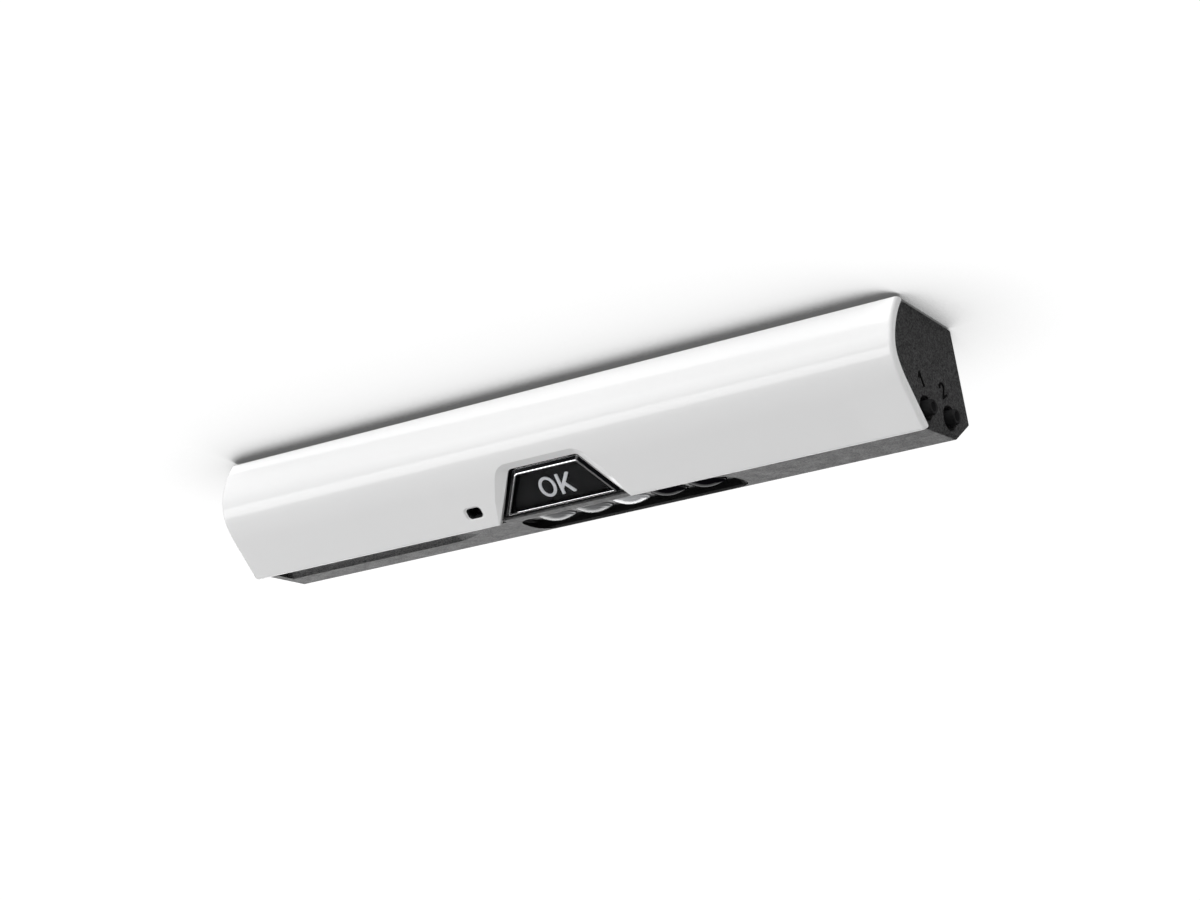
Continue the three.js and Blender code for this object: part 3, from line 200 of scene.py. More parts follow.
def boolean(obj, tool):
    """Cuts a tool out of a piece and throws the tool away."""
    mod = obj.modifiers.new("cut", "BOOLEAN")
    mod.operation = "DIFFERENCE"
    mod.solver = "MANIFOLD"
    mod.object = tool
    apply_modifiers(obj)
    mesh = tool.data
    bpy.data.objects.remove(tool)
    bpy.data.meshes.remove(mesh)
    return obj


def soften(obj, width, segments=2, angle=30):
    """Rounded edges that catch the light."""
    mod = obj.modifiers.new("edges", "BEVEL")
    mod.width = width * MM
    mod.segments = segments
    mod.limit_method = "ANGLE"
    mod.angle_limit = rad(angle)
    mod.harden_normals = False
    return obj


def smooth(obj, angle=30):
    mesh = obj.data
    for face in mesh.polygons:
        face.use_smooth = True
    mesh.set_sharp_from_angle(angle=rad(angle))
    return obj


def fillet(corner, before, after, r, steps):
    """Points of a rounded corner between two neighbours, in a plane."""
    a = (Vector(before) - Vector(corner)).normalized()
    b = (Vector(after) - Vector(corner)).normalized()
    half = math.acos(max(-1.0, min(1.0, a.dot(b)))) / 2
    centre = Vector(corner) + (a + b).normalized() * (r / math.sin(half))
    start = Vector(corner) + a * (r / math.tan(half))
    end = Vector(corner) + b * (r / math.tan(half))
    a0 = math.atan2(start.y - centre.y, start.x - centre.x)
    sweep = math.atan2(end.y - centre.y, end.x - centre.x) - a0
    sweep = (sweep + math.pi) % (2 * math.pi) - math.pi
    return [(centre.x + r * math.cos(a0 + sweep * k / steps), centre.y + r * math.sin(a0 + sweep * k / steps))
            for k in range(steps + 1)]


def rounded(points, steps=6):
    """Outline with each corner rounded by its radius, from (x, y, r)."""
    out = []
    for i, (x, y, r) in enumerate(points):
        if r <= 0:
            out.append((x, y))
            continue
        before = points[i - 1][:2]
        after = points[(i + 1) % len(points)][:2]
        out.extend(fillet((x, y), before, after, r, steps))
    return out


# ---------- the cover's section ----------

def cover_curve(step=1.0):
    """(y, z, lean) down the cover's outer face."""
    y, z = COVER_TOP
    curve = [(y, z, COVER_ARCS[0][1])]
    for radius, start, end in COVER_ARCS:
        y0, z0, _ = curve[-1]
        count = max(2, math.ceil((start - end) / step))
        for k in range(1, count + 1):
            lean = start + (end - start) * k / count
            curve.append((y0 + radius * (math.cos(rad(start)) - math.cos(rad(lean))),
                          z0 + radius * (math.sin(rad(lean)) - math.sin(rad(start))), lean))
    y, z, lean = curve[-1]
    curve.append((y - FLANK_LENGTH * math.sin(rad(lean)), z - FLANK_LENGTH * math.cos(rad(lean)), lean))
    return curve


CURVE = cover_curve()
FOOT = CURVE[-1]
FLANK_RISE = 90 + FOOT[2]


def inset_curve(depth):
    """The curve moved into the wall by a depth, and lengthened up to the cover's top."""
    moved = [(y + depth * math.cos(rad(a)), z - depth * math.sin(rad(a))) for y, z, a in CURVE]
    top_z = COVER_TOP[1]
    rise = top_z - moved[0][1]
    return [(moved[0][0] + rise * math.tan(rad(CURVE[0][2])), top_z)] + moved


def inner_points(points, room):
    """Numbers of the points that lie further than a length from both ends."""
    ends = Vector(points[0]), Vector(points[-1])
    return [i for i, p in enumerate(points) if all((Vector(p) - end).length > room for end in ends)]


def cover_section(depth):
    """Closed outline of the cover's wall with its outer face moved in by a depth."""
    full = [(y, z) for y, z, _ in CURVE]
    outer = inset_curve(depth) if depth > 0 else full
    inner = inset_curve(COVER_WALL)[::-1]
    radii = (COVER_EDGE * 0.9, COVER_EDGE, COVER_EDGE / 2, COVER_EDGE / 3)
    corners = (outer[0], outer[-1], inner[0], inner[-1])
    # Every section keeps the same points as the full one, so that the loops match.
    shift = len(outer) - len(full)
    down = [outer[i + shift] for i in inner_points(full, OUTER_CORNER_ROOM)]
    up = [inner[i] for i in inner_points(inner, INNER_CORNER_ROOM)]
    loop = fillet(corners[0], corners[3], down[0], radii[0], 5)
    loop += down
    loop += fillet(corners[1], down[-1], corners[2], radii[1], 6)
    loop += fillet(corners[2], corners[1], up[0], radii[2], 3)
    loop += up
    loop += fillet(corners[3], up[-1], corners[0], radii[3], 3)
    return loop


def flank_matrix():
    """Flank space: X along the bar, Y up the cover's lower face from its foot, Z out of it."""
    up = Vector((0, -math.cos(rad(FLANK_RISE)), math.sin(rad(FLANK_RISE))))
    along = Vector((1, 0, 0))
    out = along.cross(up)
    m = Matrix((along, up, out)).transposed().to_4x4()
    m.translation = Vector((0, FOOT[0], FOOT[1]))
    return m


def window_matrix():
    seat = Matrix.Translation((0, WINDOW_FOOT, -WINDOW_DEPTH))
    return flank_matrix() @ seat @ Matrix.Rotation(-rad(WINDOW_TILT), 4, "X")


def lens_matrix(x):
    return Matrix.Translation((x, LENS_Y, LENS_Z)) @ Matrix.Rotation(rad(LENS_TILT), 4, "X")


def opening_tool():
    """Cuts the window's opening, with a rim that blends into the cover's face."""
    head = WINDOW_FOOT + WINDOW_HEIGHT + OPENING_MARGIN * 0.6
    foot = -5.0

    def half(up):
        return WINDOW_HALF_FOOT + OPENING_MARGIN + WINDOW_SLOPE * (WINDOW_FOOT - up)

    def loop(spread, z, z_slope):
        side = half(foot) + spread * RIM_FOOT
        low = half(0) + spread * RIM_FOOT
        mid = half(head / 2) + spread * RIM_SIDE
        top = half(head) + spread * RIM_HEAD
        mid_y, top_y, corner = head / 2 + spread * 0.1, head + spread, RIM_CORNER + spread
        outline = rounded([
            (-side, foot, 0), (side, foot, 0), (low, 0, 0), (mid, mid_y, 0),
            (top, top_y, corner), (-top, top_y, corner), (-mid, mid_y, 0), (-low, 0, 0)], 12)
        return [flank_matrix() @ Vector((x, y, z + z_slope * max(y, 0))) for x, y in outline]

    levels = ((0, -8, 0), (0, -0.4, -0.1), (RIM_SPREAD, 0.02, 0), (RIM_SPREAD, 4, 0))
    return loft("opening_tool", [loop(*level) for level in levels])


def receiver_tool():
    """Cuts the receiver hole, with a sunk lip."""
    x, up, width, height = RECEIVER

    def loop(grow, z):
        w = width / 2 + grow
        r = RECEIVER_CORNER + grow / 2
        low = up - height / 2 - grow * 0.5
        high = up + height / 2 + grow
        return [flank_matrix() @ Vector((px, py, z)) for px, py in rounded(
            [(x - w, low, r), (x + w, low, r), (x + w, high, r), (x - w, high, r)], 8)]

    return loft("receiver_tool", [loop(*level) for level in RECEIVER_LEVELS])


def outer_normal(y, z):
    """Outward direction of the cover's outer face nearest a point, and the point's distance from it."""
    best = min(range(len(CURVE)), key=lambda i: (CURVE[i][0] - y) ** 2 + (CURVE[i][1] - z) ** 2)
    found = (1e9, 0.0)
    for i in (best - 1, best):
        if not 0 <= i < len(CURVE) - 1:
            continue
        a, b = Vector(CURVE[i][:2]), Vector(CURVE[i + 1][:2])
        t = max(0.0, min(1.0, (Vector((y, z)) - a).dot(b - a) / (b - a).length_squared))
        off = (Vector((y, z)) - a.lerp(b, t)).length
        if off < found[0]:
            found = (off, CURVE[i][2] + (CURVE[i + 1][2] - CURVE[i][2]) * t)
    lean = found[1]
    return Vector((0, -math.cos(rad(lean)), math.sin(rad(lean)))), found[0]


def analytic_normals(obj, half):
    """Exact normals on the cover's outer face, so that its gloss is unbroken round the cut-outs."""
    nearest, same_way, sharpest = 0.05, 0.999, math.cos(rad(7))
    mesh = obj.data
    smooth(obj, 28)
    on_face = []
    for face in mesh.polygons:
        c = face.center / MM
        normal, off = outer_normal(c.y, c.z)
        on_face.append(off < nearest and face.normal.dot(normal) > same_way and abs(c.x) < half - COVER_EDGE)
    edge_faces = {}
    for face in mesh.polygons:
        for key in face.edge_keys:
            edge_faces.setdefault(key, []).append(face.index)
    sharp = mesh.attributes.get("sharp_edge") or mesh.attributes.new("sharp_edge", "BOOLEAN", "EDGE")
    for edge in mesh.edges:
        sides = edge_faces.get(edge.key, [])
        if len(sides) == 2 and on_face[sides[0]] != on_face[sides[1]]:
            a, b = (mesh.polygons[s] for s in sides)
            sharp.data[edge.index].value = a.normal.dot(b.normal) < sharpest
    normals = []
    exact = {}
    corner = np.zeros(len(mesh.loops) * 3, np.float32)
    mesh.corner_normals.foreach_get("vector", corner)
    corner = corner.reshape(-1, 3)
    for face in mesh.polygons:
        for li in face.loop_indices:
            if on_face[face.index]:
                v = mesh.loops[li].vertex_index
                if v not in exact:
                    p = mesh.vertices[v].co / MM
                    exact[v] = outer_normal(p.y, p.z)[0]
                normals.append(exact[v])
            else:
                normals.append(Vector(corner[li]))
    mesh.normals_split_custom_set(normals)
    return obj


def make_cover():
    """The cover's shell, with rounded ends, hinge pockets, opening and receiver hole."""
    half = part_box("front_cover")[1].x / MM
    end_steps = 6
    turns = [rad(90 * k / end_steps) for k in range(end_steps + 1)]
    ends = [(half - COVER_EDGE + COVER_EDGE * math.cos(a), COVER_EDGE * (1 - math.sin(a))) for a in turns]
    stations = ends + [(x, 0.0) for x in range(90, -91, -30)] + [(-x, d) for x, d in reversed(ends)]
    loops = [[(x, y, z) for y, z in cover_section(d)] for x, d in stations]
    shell = loft("cover_shell", loops)
    w = KNUCKLE_WIDTH / 2 + KNUCKLE_GAP
    room = BEAD_R + KNUCKLE_GAP
    pockets = [(x - w, x + w, HINGE[0] - room, 60, HINGE[1] - room, 5) for x in (-KNUCKLE_X, 0, KNUCKLE_X)]
    boolean(shell, boxes("pocket_tool", pockets))
    boolean(shell, opening_tool())
    boolean(shell, receiver_tool())
    analytic_normals(shell, half)
    return shell


# ---------- materials ----------

class Material:
    """A node material, with short ways to add what repeats."""

    def __init__(self, name, color, roughness, metallic=0.0, **inputs):
        self.mat = bpy.data.materials.new(name)
        self.mat.use_nodes = True
        self.nodes = self.mat.node_tree.nodes
        self.links = self.mat.node_tree.links
        self.shader = self.nodes["Principled BSDF"]
        self.shader.inputs["Base Color"].default_value = (*color, 1)
        self.shader.inputs["Roughness"].default_value = roughness
        self.shader.inputs["Metallic"].default_value = metallic
        for key, value in inputs.items():
            self.shader.inputs[key.replace("_", " ")].default_value = value
        self.coords = self.nodes.new("ShaderNodeTexCoord").outputs["Object"]

    def mapped(self, scale=(1, 1, 1), rotation=(0, 0, 0)):
        node = self.nodes.new("ShaderNodeMapping")
        node.inputs["Scale"].default_value = scale
        node.inputs["Rotation"].default_value = rotation
        self.links.new(self.coords, node.inputs["Vector"])
        return node.outputs["Vector"]

    def noise(self, scale, detail=4, roughness=0.6, coords=None):
        node = self.nodes.new("ShaderNodeTexNoise")
        node.inputs["Scale"].default_value = scale
        node.inputs["Detail"].default_value = detail
        node.inputs["Roughness"].default_value = roughness
        self.links.new(coords or self.coords, node.inputs["Vector"])
        return node.outputs["Fac"]

    def ramp(self, fac, stops):
        node = self.nodes.new("ShaderNodeValToRGB")
        ramp = node.color_ramp
        while len(ramp.elements) < len(stops):
            ramp.elements.new(0.5)
        for element, (at, value) in zip(ramp.elements, stops):
            element.position = at
            element.color = (*value, 1) if isinstance(value, tuple) else (value, value, value, 1)
        self.links.new(fac, node.inputs["Fac"])
        return node.outputs["Color"]

    def to(self, socket, output):
        self.links.new(output, self.shader.inputs[socket])
        return self

    def bump(self, height, strength, distance):
        node = self.nodes.new("ShaderNodeBump")
        node.inputs["Strength"].default_value = strength
        node.inputs["Distance"].default_value = distance * MM
        self.links.new(height, node.inputs["Height"])
        self.links.new(node.outputs["Normal"], self.shader.inputs["Normal"])
        return self

    def give(self, *objs):
        for obj in objs:
            obj.data.materials.clear()
            obj.data.materials.append(self.mat)


def wear_roughness(m, low, high, scale):
    """Roughness that varies slowly between two values."""
    m.to("Roughness", m.ramp(m.noise(scale, 5), ((0.35, low), (0.65, high))))
    return m


def speckled(name, dark, light, roughness, scale, stops=(0.3, 0.7), **inputs):
    """Plain material whose colour wanders between two close tones."""
    m = Material(name, dark, roughness, **inputs)
    m.to("Base Color", m.ramp(m.noise(scale, 2), ((stops[0], dark), (stops[1], light))))
    return m


def glossy(name, color, roughness, wear, metallic=0.0, **inputs):
    """Polished material with slight wear, from its (low, high, scale)."""
    return wear_roughness(Material(name, color, roughness, metallic, **inputs), *wear)


def cover_white():
    m = Material("cover_white", (0.86, 0.86, 0.86), 0.16, Specular_IOR_Level=0.5)
    m.to("Base Color", m.ramp(m.noise(9, 3), ((0.3, (0.855, 0.856, 0.858)), (0.7, (0.87, 0.87, 0.87)))))
    wear_roughness(m, 0.10, 0.15, 40)
    m.bump(m.noise(900, 2), 0.03, 0.02)
    return m


def grained(name, dark, light, roughness=(0.55, 0.75), grain=2600, strength=0.5):
    m = Material(name, dark, 0.6)
    speck = m.noise(grain, 3, 0.7)
    m.to("Base Color", m.ramp(speck, ((0.36, dark), (0.64, light))))
    wear_roughness(m, *roughness, 300)
    m.bump(speck, strength, 0.05)
    return m


def metal(name, color, rough, stretch=(4, 400, 400), metallic=1.0):
    m = Material(name, color, 0.35, metallic)
    lines = m.noise(3, 4, coords=m.mapped(stretch))
    m.to("Roughness", m.ramp(lines, ((0.3, rough[0]), (0.7, rough[1]))))
    m.bump(lines, 0.15, 0.02)
    return m


def clear(name, color, roughness, ior, transmission=1.0):
    m = Material(name, color, roughness, Transmission_Weight=transmission, IOR=ior)
    wear_roughness(m, roughness, roughness + 0.03, 200)
    return m


def board_green():
    """Solder resist over fine tracks."""
    m = Material("board_green", (0.02, 0.13, 0.06), 0.35)
    tracks = m.nodes.new("ShaderNodeTexBrick")
    tracks.offset = 0.37
    for socket, value in (("Scale", 420), ("Brick Width", 3.1), ("Row Height", 0.36), ("Mortar Size", 0.05),
                          ("Color1", (0.016, 0.115, 0.05, 1)), ("Color2", (0.02, 0.135, 0.062, 1)),
                          ("Mortar", (0.05, 0.22, 0.1, 1))):
        tracks.inputs[socket].default_value = value
    m.links.new(m.mapped((1, 1, 1), (rad(90), 0, 0)), tracks.inputs["Vector"])
    m.to("Base Color", tracks.outputs["Color"])
    wear_roughness(m, 0.28, 0.4, 80)
    m.bump(tracks.outputs["Fac"], 0.2, 0.02)
    return m


WHITE = cover_white()
CHARCOAL = grained("housing_charcoal", (0.008, 0.008, 0.0085), (0.11, 0.11, 0.111), (0.5, 0.62), 1500, 0.6)
# Painted shade: the lens recess is the housing's own charcoal plastic, painted near black for the deep shade inside
# it.
RECESS_PAINTED_SHADE = grained("recess_painted_shade", (0.002, 0.002, 0.002), (0.008, 0.008, 0.008), (0.35, 0.5), 2600, 0.3)
BLACK = grained("black_plastic", (0.006, 0.006, 0.007), (0.014, 0.014, 0.015), (0.4, 0.55), 1800, 0.25)
RUBBER = grained("grommet_rubber", (0.012, 0.012, 0.013), (0.028, 0.028, 0.029), (0.7, 0.85), 1500, 0.3)
ZINC = metal("plate_zinc", (0.66, 0.67, 0.68), (0.4, 0.55), metallic=0.55)
STEEL = metal("screw_steel", (0.55, 0.56, 0.57), (0.2, 0.35), (60, 60, 60))
ACRYLIC = clear("window_acrylic", (0.97, 0.975, 0.98), 0.02, 1.2)
# Painted shade: the acrylic's sides and bevels are clear; this near-black gloss stands in for the dark they refract
# from behind.
WINDOW_SIDE_PAINTED_SHADE = glossy("window_side_painted_shade", (0.004, 0.004, 0.005), 0.06, (0.04, 0.09, 150))
WINDOW_GLINT = glossy("window_glint", (0.95, 0.95, 0.96), 0.15, (0.1, 0.2, 150), 0.85)
LENS_CLEAR = clear("lens_clear", (0.27, 0.275, 0.28), 0.2, 1.38, 0.2)
# Painted reflection: lens 3 is the same clear lens as the rest; its light tone paints in its bright reflections.
LENS_PAINTED_REFLECTION = clear("lens_painted_reflection", (0.8, 0.81, 0.83), 0.03, 1.7, 0.25)
# Painted highlight: the lighter ring on the button tips is a lighter copy of the black plastic standing in for a
# highlight.
BUTTON_TIP_HIGHLIGHT = grained("button_tip_highlight", (0.02, 0.02, 0.021), (0.034, 0.034, 0.035), (0.3, 0.4), 1200, 0.1)
# Painted shade: lenses 4 and 5 are the same clear lens as the rest, painted near black for the shade they lie in.
LENS_PAINTED_SHADE = glossy("lens_dark", (0.004, 0.0035, 0.005), 0.1, (0.04, 0.09, 120), IOR=1.06)
PANEL = speckled("panel_black", (0.004, 0.004, 0.005), (0.014, 0.014, 0.015), 0.5, 2400, (0.4, 0.62),
                 Specular_IOR_Level=0.08)
wear_roughness(PANEL, 0.5, 0.6, 300)
PRINT_GREY = speckled("print_grey", (0.72, 0.73, 0.75), (0.8, 0.81, 0.83), 0.5, 900)
PRINT_DARK = grained("print_dark", (0.0015, 0.0015, 0.0015), (0.004, 0.004, 0.004), (0.6, 0.8), 900, 0.1)
BOARD = board_green()
TERMINAL = grained("terminal_green", (0.03, 0.2, 0.07), (0.045, 0.26, 0.09), (0.4, 0.55), 500, 0.1)
RELAY = grained("relay_dark", (0.012, 0.016, 0.024), (0.02, 0.026, 0.038), (0.25, 0.4), 500, 0.08)
SLEEVE = grained("capacitor_sleeve", (0.012, 0.014, 0.02), (0.02, 0.022, 0.03), (0.22, 0.35), 500, 0.05)
CHIP = grained("chip_black", (0.008, 0.008, 0.009), (0.016, 0.016, 0.017), (0.45, 0.6), 1200, 0.12)
FILTER = glossy("filter_dark", (0.004, 0.002, 0.004), 0.12, (0.08, 0.16, 200))
GOLD = metal("antenna_gold", (0.75, 0.55, 0.22), (0.25, 0.4), (90, 90, 90))
TAN = grained("capacitor_tan", (0.28, 0.17, 0.07), (0.36, 0.23, 0.1), (0.35, 0.5), 900, 0.1)
DIODE = glossy("diode_clear", (0.35, 0.33, 0.4), 0.08, (0.05, 0.1, 200), Transmission_Weight=0.6, IOR=1.5)

NODE_MATERIALS = {
    "mounting_plate": ZINC, "housing": CHARCOAL, "cable_grommet": RUBBER, "front_cover": WHITE,
    "terminal_block": TERMINAL, "processor": CHIP, "ribbon_socket": BLACK, "ir_receiver": FILTER,
    "radar_antenna": GOLD, "optics_block": BLACK, "display_window": ACRYLIC, "display_panel": PANEL,
    "letter_o": PRINT_GREY, "letter_k": PRINT_GREY,
}
for index in (1, 2):
    NODE_MATERIALS.update({
        f"relay_{index}": RELAY, f"capacitor_{index}": SLEEVE, f"switch_{index}": CHIP, f"digit_{index}": PRINT_DARK,
        f"button_{index}_cap": BLACK, f"button_{index}_plunger": CHIP,
    })
# The later lenses get painted shade in place of the clear lens.
for index in range(1, len(LENS_X) + 1):
    NODE_MATERIALS[f"lens_{index}"] = LENS_CLEAR if index < FIRST_SHADE_PAINTED_LENS else LENS_PAINTED_SHADE
    NODE_MATERIALS[f"diode_{index}"] = DIODE
for name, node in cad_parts.items():
    if "screw" in name:
        NODE_MATERIALS[name] = STEEL
    elif name.endswith("_board"):
        NODE_MATERIALS[name] = BOARD
    NODE_MATERIALS[name].give(node)
    smooth(node, 24)


def repaint(obj, material, chosen):
    """Gives the chosen faces another material; the choice is by centre in millimetres and normal."""
    obj.data.materials.append(material.mat)
    index = len(obj.data.materials) - 1
    for face in obj.data.polygons:
        if chosen(face.center / MM, face.normal):
            face.material_index = index


TO_RECESS = lens_matrix(sum(LENS_X) / len(LENS_X)).inverted()
TO_FLANK = flank_matrix().inverted()


def in_recess(centre, normal):
    """The walls and roof of the lens recess, which get painted shade, but not the housing's bottom round it."""
    p = TO_RECESS @ centre
    inside = abs(p.x) < 47 and -9.5 < p.y < 10.4 and -2.2 < p.z < 4.3
    return inside and (p.z > -1.2 or (TO_RECESS.to_3x3() @ normal).z > -0.9)


def in_receiver_hole(centre, normal):
    """The walls of the receiver hole, from the cover's back face to the lip, which get painted shade."""
    p = TO_FLANK @ centre
    near = abs(p.x - RECEIVER[0]) < 3.4 and abs(p.y - RECEIVER[1]) < 2.6
    return near and -COVER_WALL - 0.05 < p.z < RECEIVER_LIP


def behind_receiver_hole(centre, normal):
    """The cut faces of the catch that stands behind the receiver hole, which get painted shade."""
    p = TO_FLANK @ centre
    return abs(p.x - RECEIVER[0]) < 2.9 and p.y > 1.25


# Painted shade: the recess walls and roof get a near-black copy of the housing plastic.
repaint(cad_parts["housing"], RECESS_PAINTED_SHADE, in_recess)

# ---------- pieces ----------

cover = make_cover()
WHITE.give(cover)
# Painted shade: the receiver hole's walls are the cover's white plastic, painted black for the shade inside the hole.
repaint(cover, BLACK, in_receiver_hole)
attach(cover, "cover")
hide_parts("front_cover")


def side_matrix(name):
    """Places a piece turned about +X on the axis of a CAD node."""
    low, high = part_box(name)
    middle = Matrix.Translation((0, (low.y + high.y) / 2 / MM, (low.z + high.z) / 2 / MM))
    return middle @ Matrix.Rotation(rad(90), 4, "Y")


def make_catches():
    """Ribs inside the cover's foot that hold it shut."""
    w = CATCH_HALF_WIDTH
    items = [(x - w, x + w, 1.2, 3.2, -COVER_WALL - 1.4, -COVER_WALL + 0.4) for x in CATCH_X]
    piece = boxes("cover_catches", items, flank_matrix())
    boolean(piece, receiver_tool())
    soften(piece, 0.3, 2)
    return smooth(piece)


def make_lens(index, x):
    """A dome, rippled near its rim unless it is one of the lenses painted dark with painted shade, and the flange that
    holds it behind the recess.
    """
    height = LENS_RIPPLE if index < FIRST_SHADE_PAINTED_LENS else 0.0
    ripple_from, ripple_to = 0.8, 0.96
    rim = LENS_R - 0.4
    steps = 14
    profile = [(0, -LENS_DOME)]
    for k in range(1, steps + 1):
        t = k / steps
        ripple = 0
        if ripple_from < t < ripple_to:
            ripple = height * math.sin(rad(180) * (t - ripple_from) / (ripple_to - ripple_from))
        profile.append((rim * t, -LENS_DOME * (1 - t * t) - ripple))
    seat = PAD_TOP + 0.3
    profile += [(LENS_R - 0.12, 0.08), (LENS_R, 0.3), (LENS_R, seat), (FLANGE_R - 0.15, seat),
                (FLANGE_R, seat + 0.15), (FLANGE_R, seat + 0.65), (FLANGE_R - 0.15, seat + 0.8), (0, seat + 0.8)]
    return smooth(turned(f"lens_dome_{index}", profile, lens_matrix(x), 72), 35)


def make_button(index):
    """Cap with a dished tip whose rim ring carries a painted highlight, on its stem and stop."""
    name = f"button_{index}_cap"
    low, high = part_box(name)
    back, tip = low.x / MM, high.x / MM
    under = tip - CAP_LENGTH
    stop = [(0, back), (STOP_R - 0.15, back), (STOP_R, back + 0.15), (STOP_R, back + 0.85), (STOP_R - 0.15, back + 1)]
    stem = [(STEM_R, back + 1), (STEM_R, under)]
    cap = [(BUTTON_R - 0.2, under), (BUTTON_R, under + 0.2), (BUTTON_R, tip - 0.5), (BUTTON_R - 0.05, tip - 0.3),
           (BUTTON_R - 0.17, tip - 0.12), (BUTTON_R - 0.38, tip), (BUTTON_R - 0.8, tip),
           (BUTTON_R - 0.92, tip - 0.06), (BUTTON_R - 1.05, tip - 0.25), (1.0, tip - 0.27), (0, tip - 0.28)]
    piece = smooth(turned(f"button_{index}_visual", stop + stem + cap, side_matrix(name), 56), 35)
    BLACK.give(piece)
    # The tip ring gets a painted highlight.
    repaint(piece, BUTTON_TIP_HIGHLIGHT, lambda centre, normal: centre.x > tip - 0.2)
    return piece


def in_window(points, z):
    return [window_matrix() @ Vector((x, y, z)) for x, y in points]


def trapezium(foot, foot_y, foot_r, head, head_y, head_r, steps):
    """Rounded outline, from its half widths, heights and radii at the foot and the head."""
    return rounded([(-foot, foot_y, foot_r), (foot, foot_y, foot_r), (head, head_y, head_r), (-head, head_y, head_r)],
                   steps)


def window_loop(inset, z):
    """The window's outline at a height, moved in on every side."""
    across = inset * math.hypot(1, WINDOW_SLOPE)
    low = inset * 0.35
    foot = WINDOW_HALF_FOOT - across - low * WINDOW_SLOPE
    head = WINDOW_HALF_HEAD - across + inset * WINDOW_SLOPE
    return in_window(trapezium(foot, low, 0.4, head, WINDOW_HEIGHT - inset, 2.2, 10), z)


def make_window():
    """Clear front and back, sides and bevels painted dark as painted shade in place of the dark that the clear acrylic
    refracts there, and bright edges.
    """
    levels = ((0, -WINDOW_THICK), (0, -WINDOW_BEVEL * 0.7), (WINDOW_BEVEL, 0))
    piece = loft("window_block", [window_loop(*level) for level in levels])
    smooth(piece, 20)
    ACRYLIC.give(piece)
    to_window = window_matrix().inverted().to_3x3()

    def is_painted_shade_side(centre, normal):
        return abs((to_window @ normal).z) < 0.95

    def is_low_bevel(centre, normal):
        n = to_window @ normal
        return n.y < -0.5 and 0.2 < n.z < 0.95

    # The window's sides and bevels get painted shade.
    repaint(piece, WINDOW_SIDE_PAINTED_SHADE, is_painted_shade_side)
    repaint(piece, WINDOW_GLINT, is_low_bevel)
    soften(piece, 0.36, 4, 20).modifiers["edges"].material = piece.data.materials.find(WINDOW_GLINT.mat.name)
    return piece


def make_mask():
    """Black mask on the back of the window, round the panel."""
    edge = trapezium(WINDOW_HALF_FOOT + 2.4, 0.15, 0.3, WINDOW_HALF_HEAD + 2.6, WINDOW_HEIGHT + 1.6, 2.4, 6)
    hole = trapezium(23.3, 1.0, 0.3, 13.2, 14.3, 0.6, 4)
    piece = loft("window_mask", [in_window(edge, -WINDOW_THICK - gap) for gap in (0.2, 0.06)])
    boolean(piece, loft("mask_tool", [in_window(hole, z) for z in (-5, 0)]))
    return smooth(piece)


def adopt(piece, body, material=None, replaces=None):
    """Hands a piece to the frame."""
    if material:
        material.give(piece)
    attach(piece, body)
    if replaces:
        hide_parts(replaces)


def board_parts():
    """Small surface parts on the front of the main board, clear of the CAD parts there."""
    pick = random.Random(11)
    column_pitch, row_pitch = 5.4, 4.6
    low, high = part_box("main_board")
    face = low.y / MM
    taken = [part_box(n) for n in ("terminal_block", "relay_1", "relay_2", "processor", "ribbon_socket", "capacitor_1",
                                 "capacitor_2", "board_screw_1", "board_screw_2", "board_screw_3", "board_screw_4")]
    x0, x1 = low.x / MM + 5, high.x / MM - 5
    z0, z1 = low.z / MM + 3, high.z / MM - 2.5
    # The last row falls on the limit itself, so the counts allow for rounding.
    columns = math.floor((x1 - x0) / column_pitch + 0.01) + 1
    rows = math.floor((z1 - z0) / row_pitch + 0.01) + 1
    chips, ends, blocks = [], [], []
    for column in range(columns):
        for row in range(rows):
            x, z = x0 + column * column_pitch, z0 + row * row_pitch
            kind = pick.random()
            px, pz = x + pick.uniform(-0.5, 0.5), z + pick.uniform(-0.3, 0.3)
            free = not any(a.x / MM - 3.2 < px < b.x / MM + 3.2 and a.z / MM - 2.4 < pz < b.z / MM + 2.4
                           for a, b in taken)
            if free and kind < 0.42:
                chips.append((px - 0.65, px + 0.65, face - 0.55, face, pz - 0.6, pz + 0.6))
                ends.append((px - 1.0, px - 0.65, face - 0.55, face, pz - 0.6, pz + 0.6))
                ends.append((px + 0.65, px + 1.0, face - 0.55, face, pz - 0.6, pz + 0.6))
            elif free and kind < 0.6:
                blocks.append((px - 1.1, px + 1.1, face - 1.2, face, pz - 0.8, pz + 0.8))
            elif free and kind < 0.68:
                chips.append((px - 1.9, px + 1.9, face - 1.3, face - 0.1, pz - 1.2, pz + 1.2))
                for leg in (px - 1.7 + k * 1.1 for k in range(4)):
                    ends.append((leg, leg + 0.4, face - 0.4, face, pz - 2.0, pz + 2.0))
    for name, items, material, slot in (("board_chips", chips, CHIP, "chip_black"),
                                        ("board_ends", ends, STEEL, "screw_steel"),
                                        ("board_blocks", blocks, TAN, "antenna_gold")):
        piece = boxes(name, items)
        soften(piece, 0.08, 1)
        adopt(smooth(piece), "base", material)


hooks = make_catches()
adopt(hooks, "cover", WHITE)
# Painted shade: the white catch's faces seen through the receiver hole are painted black.
repaint(hooks, BLACK, behind_receiver_hole)
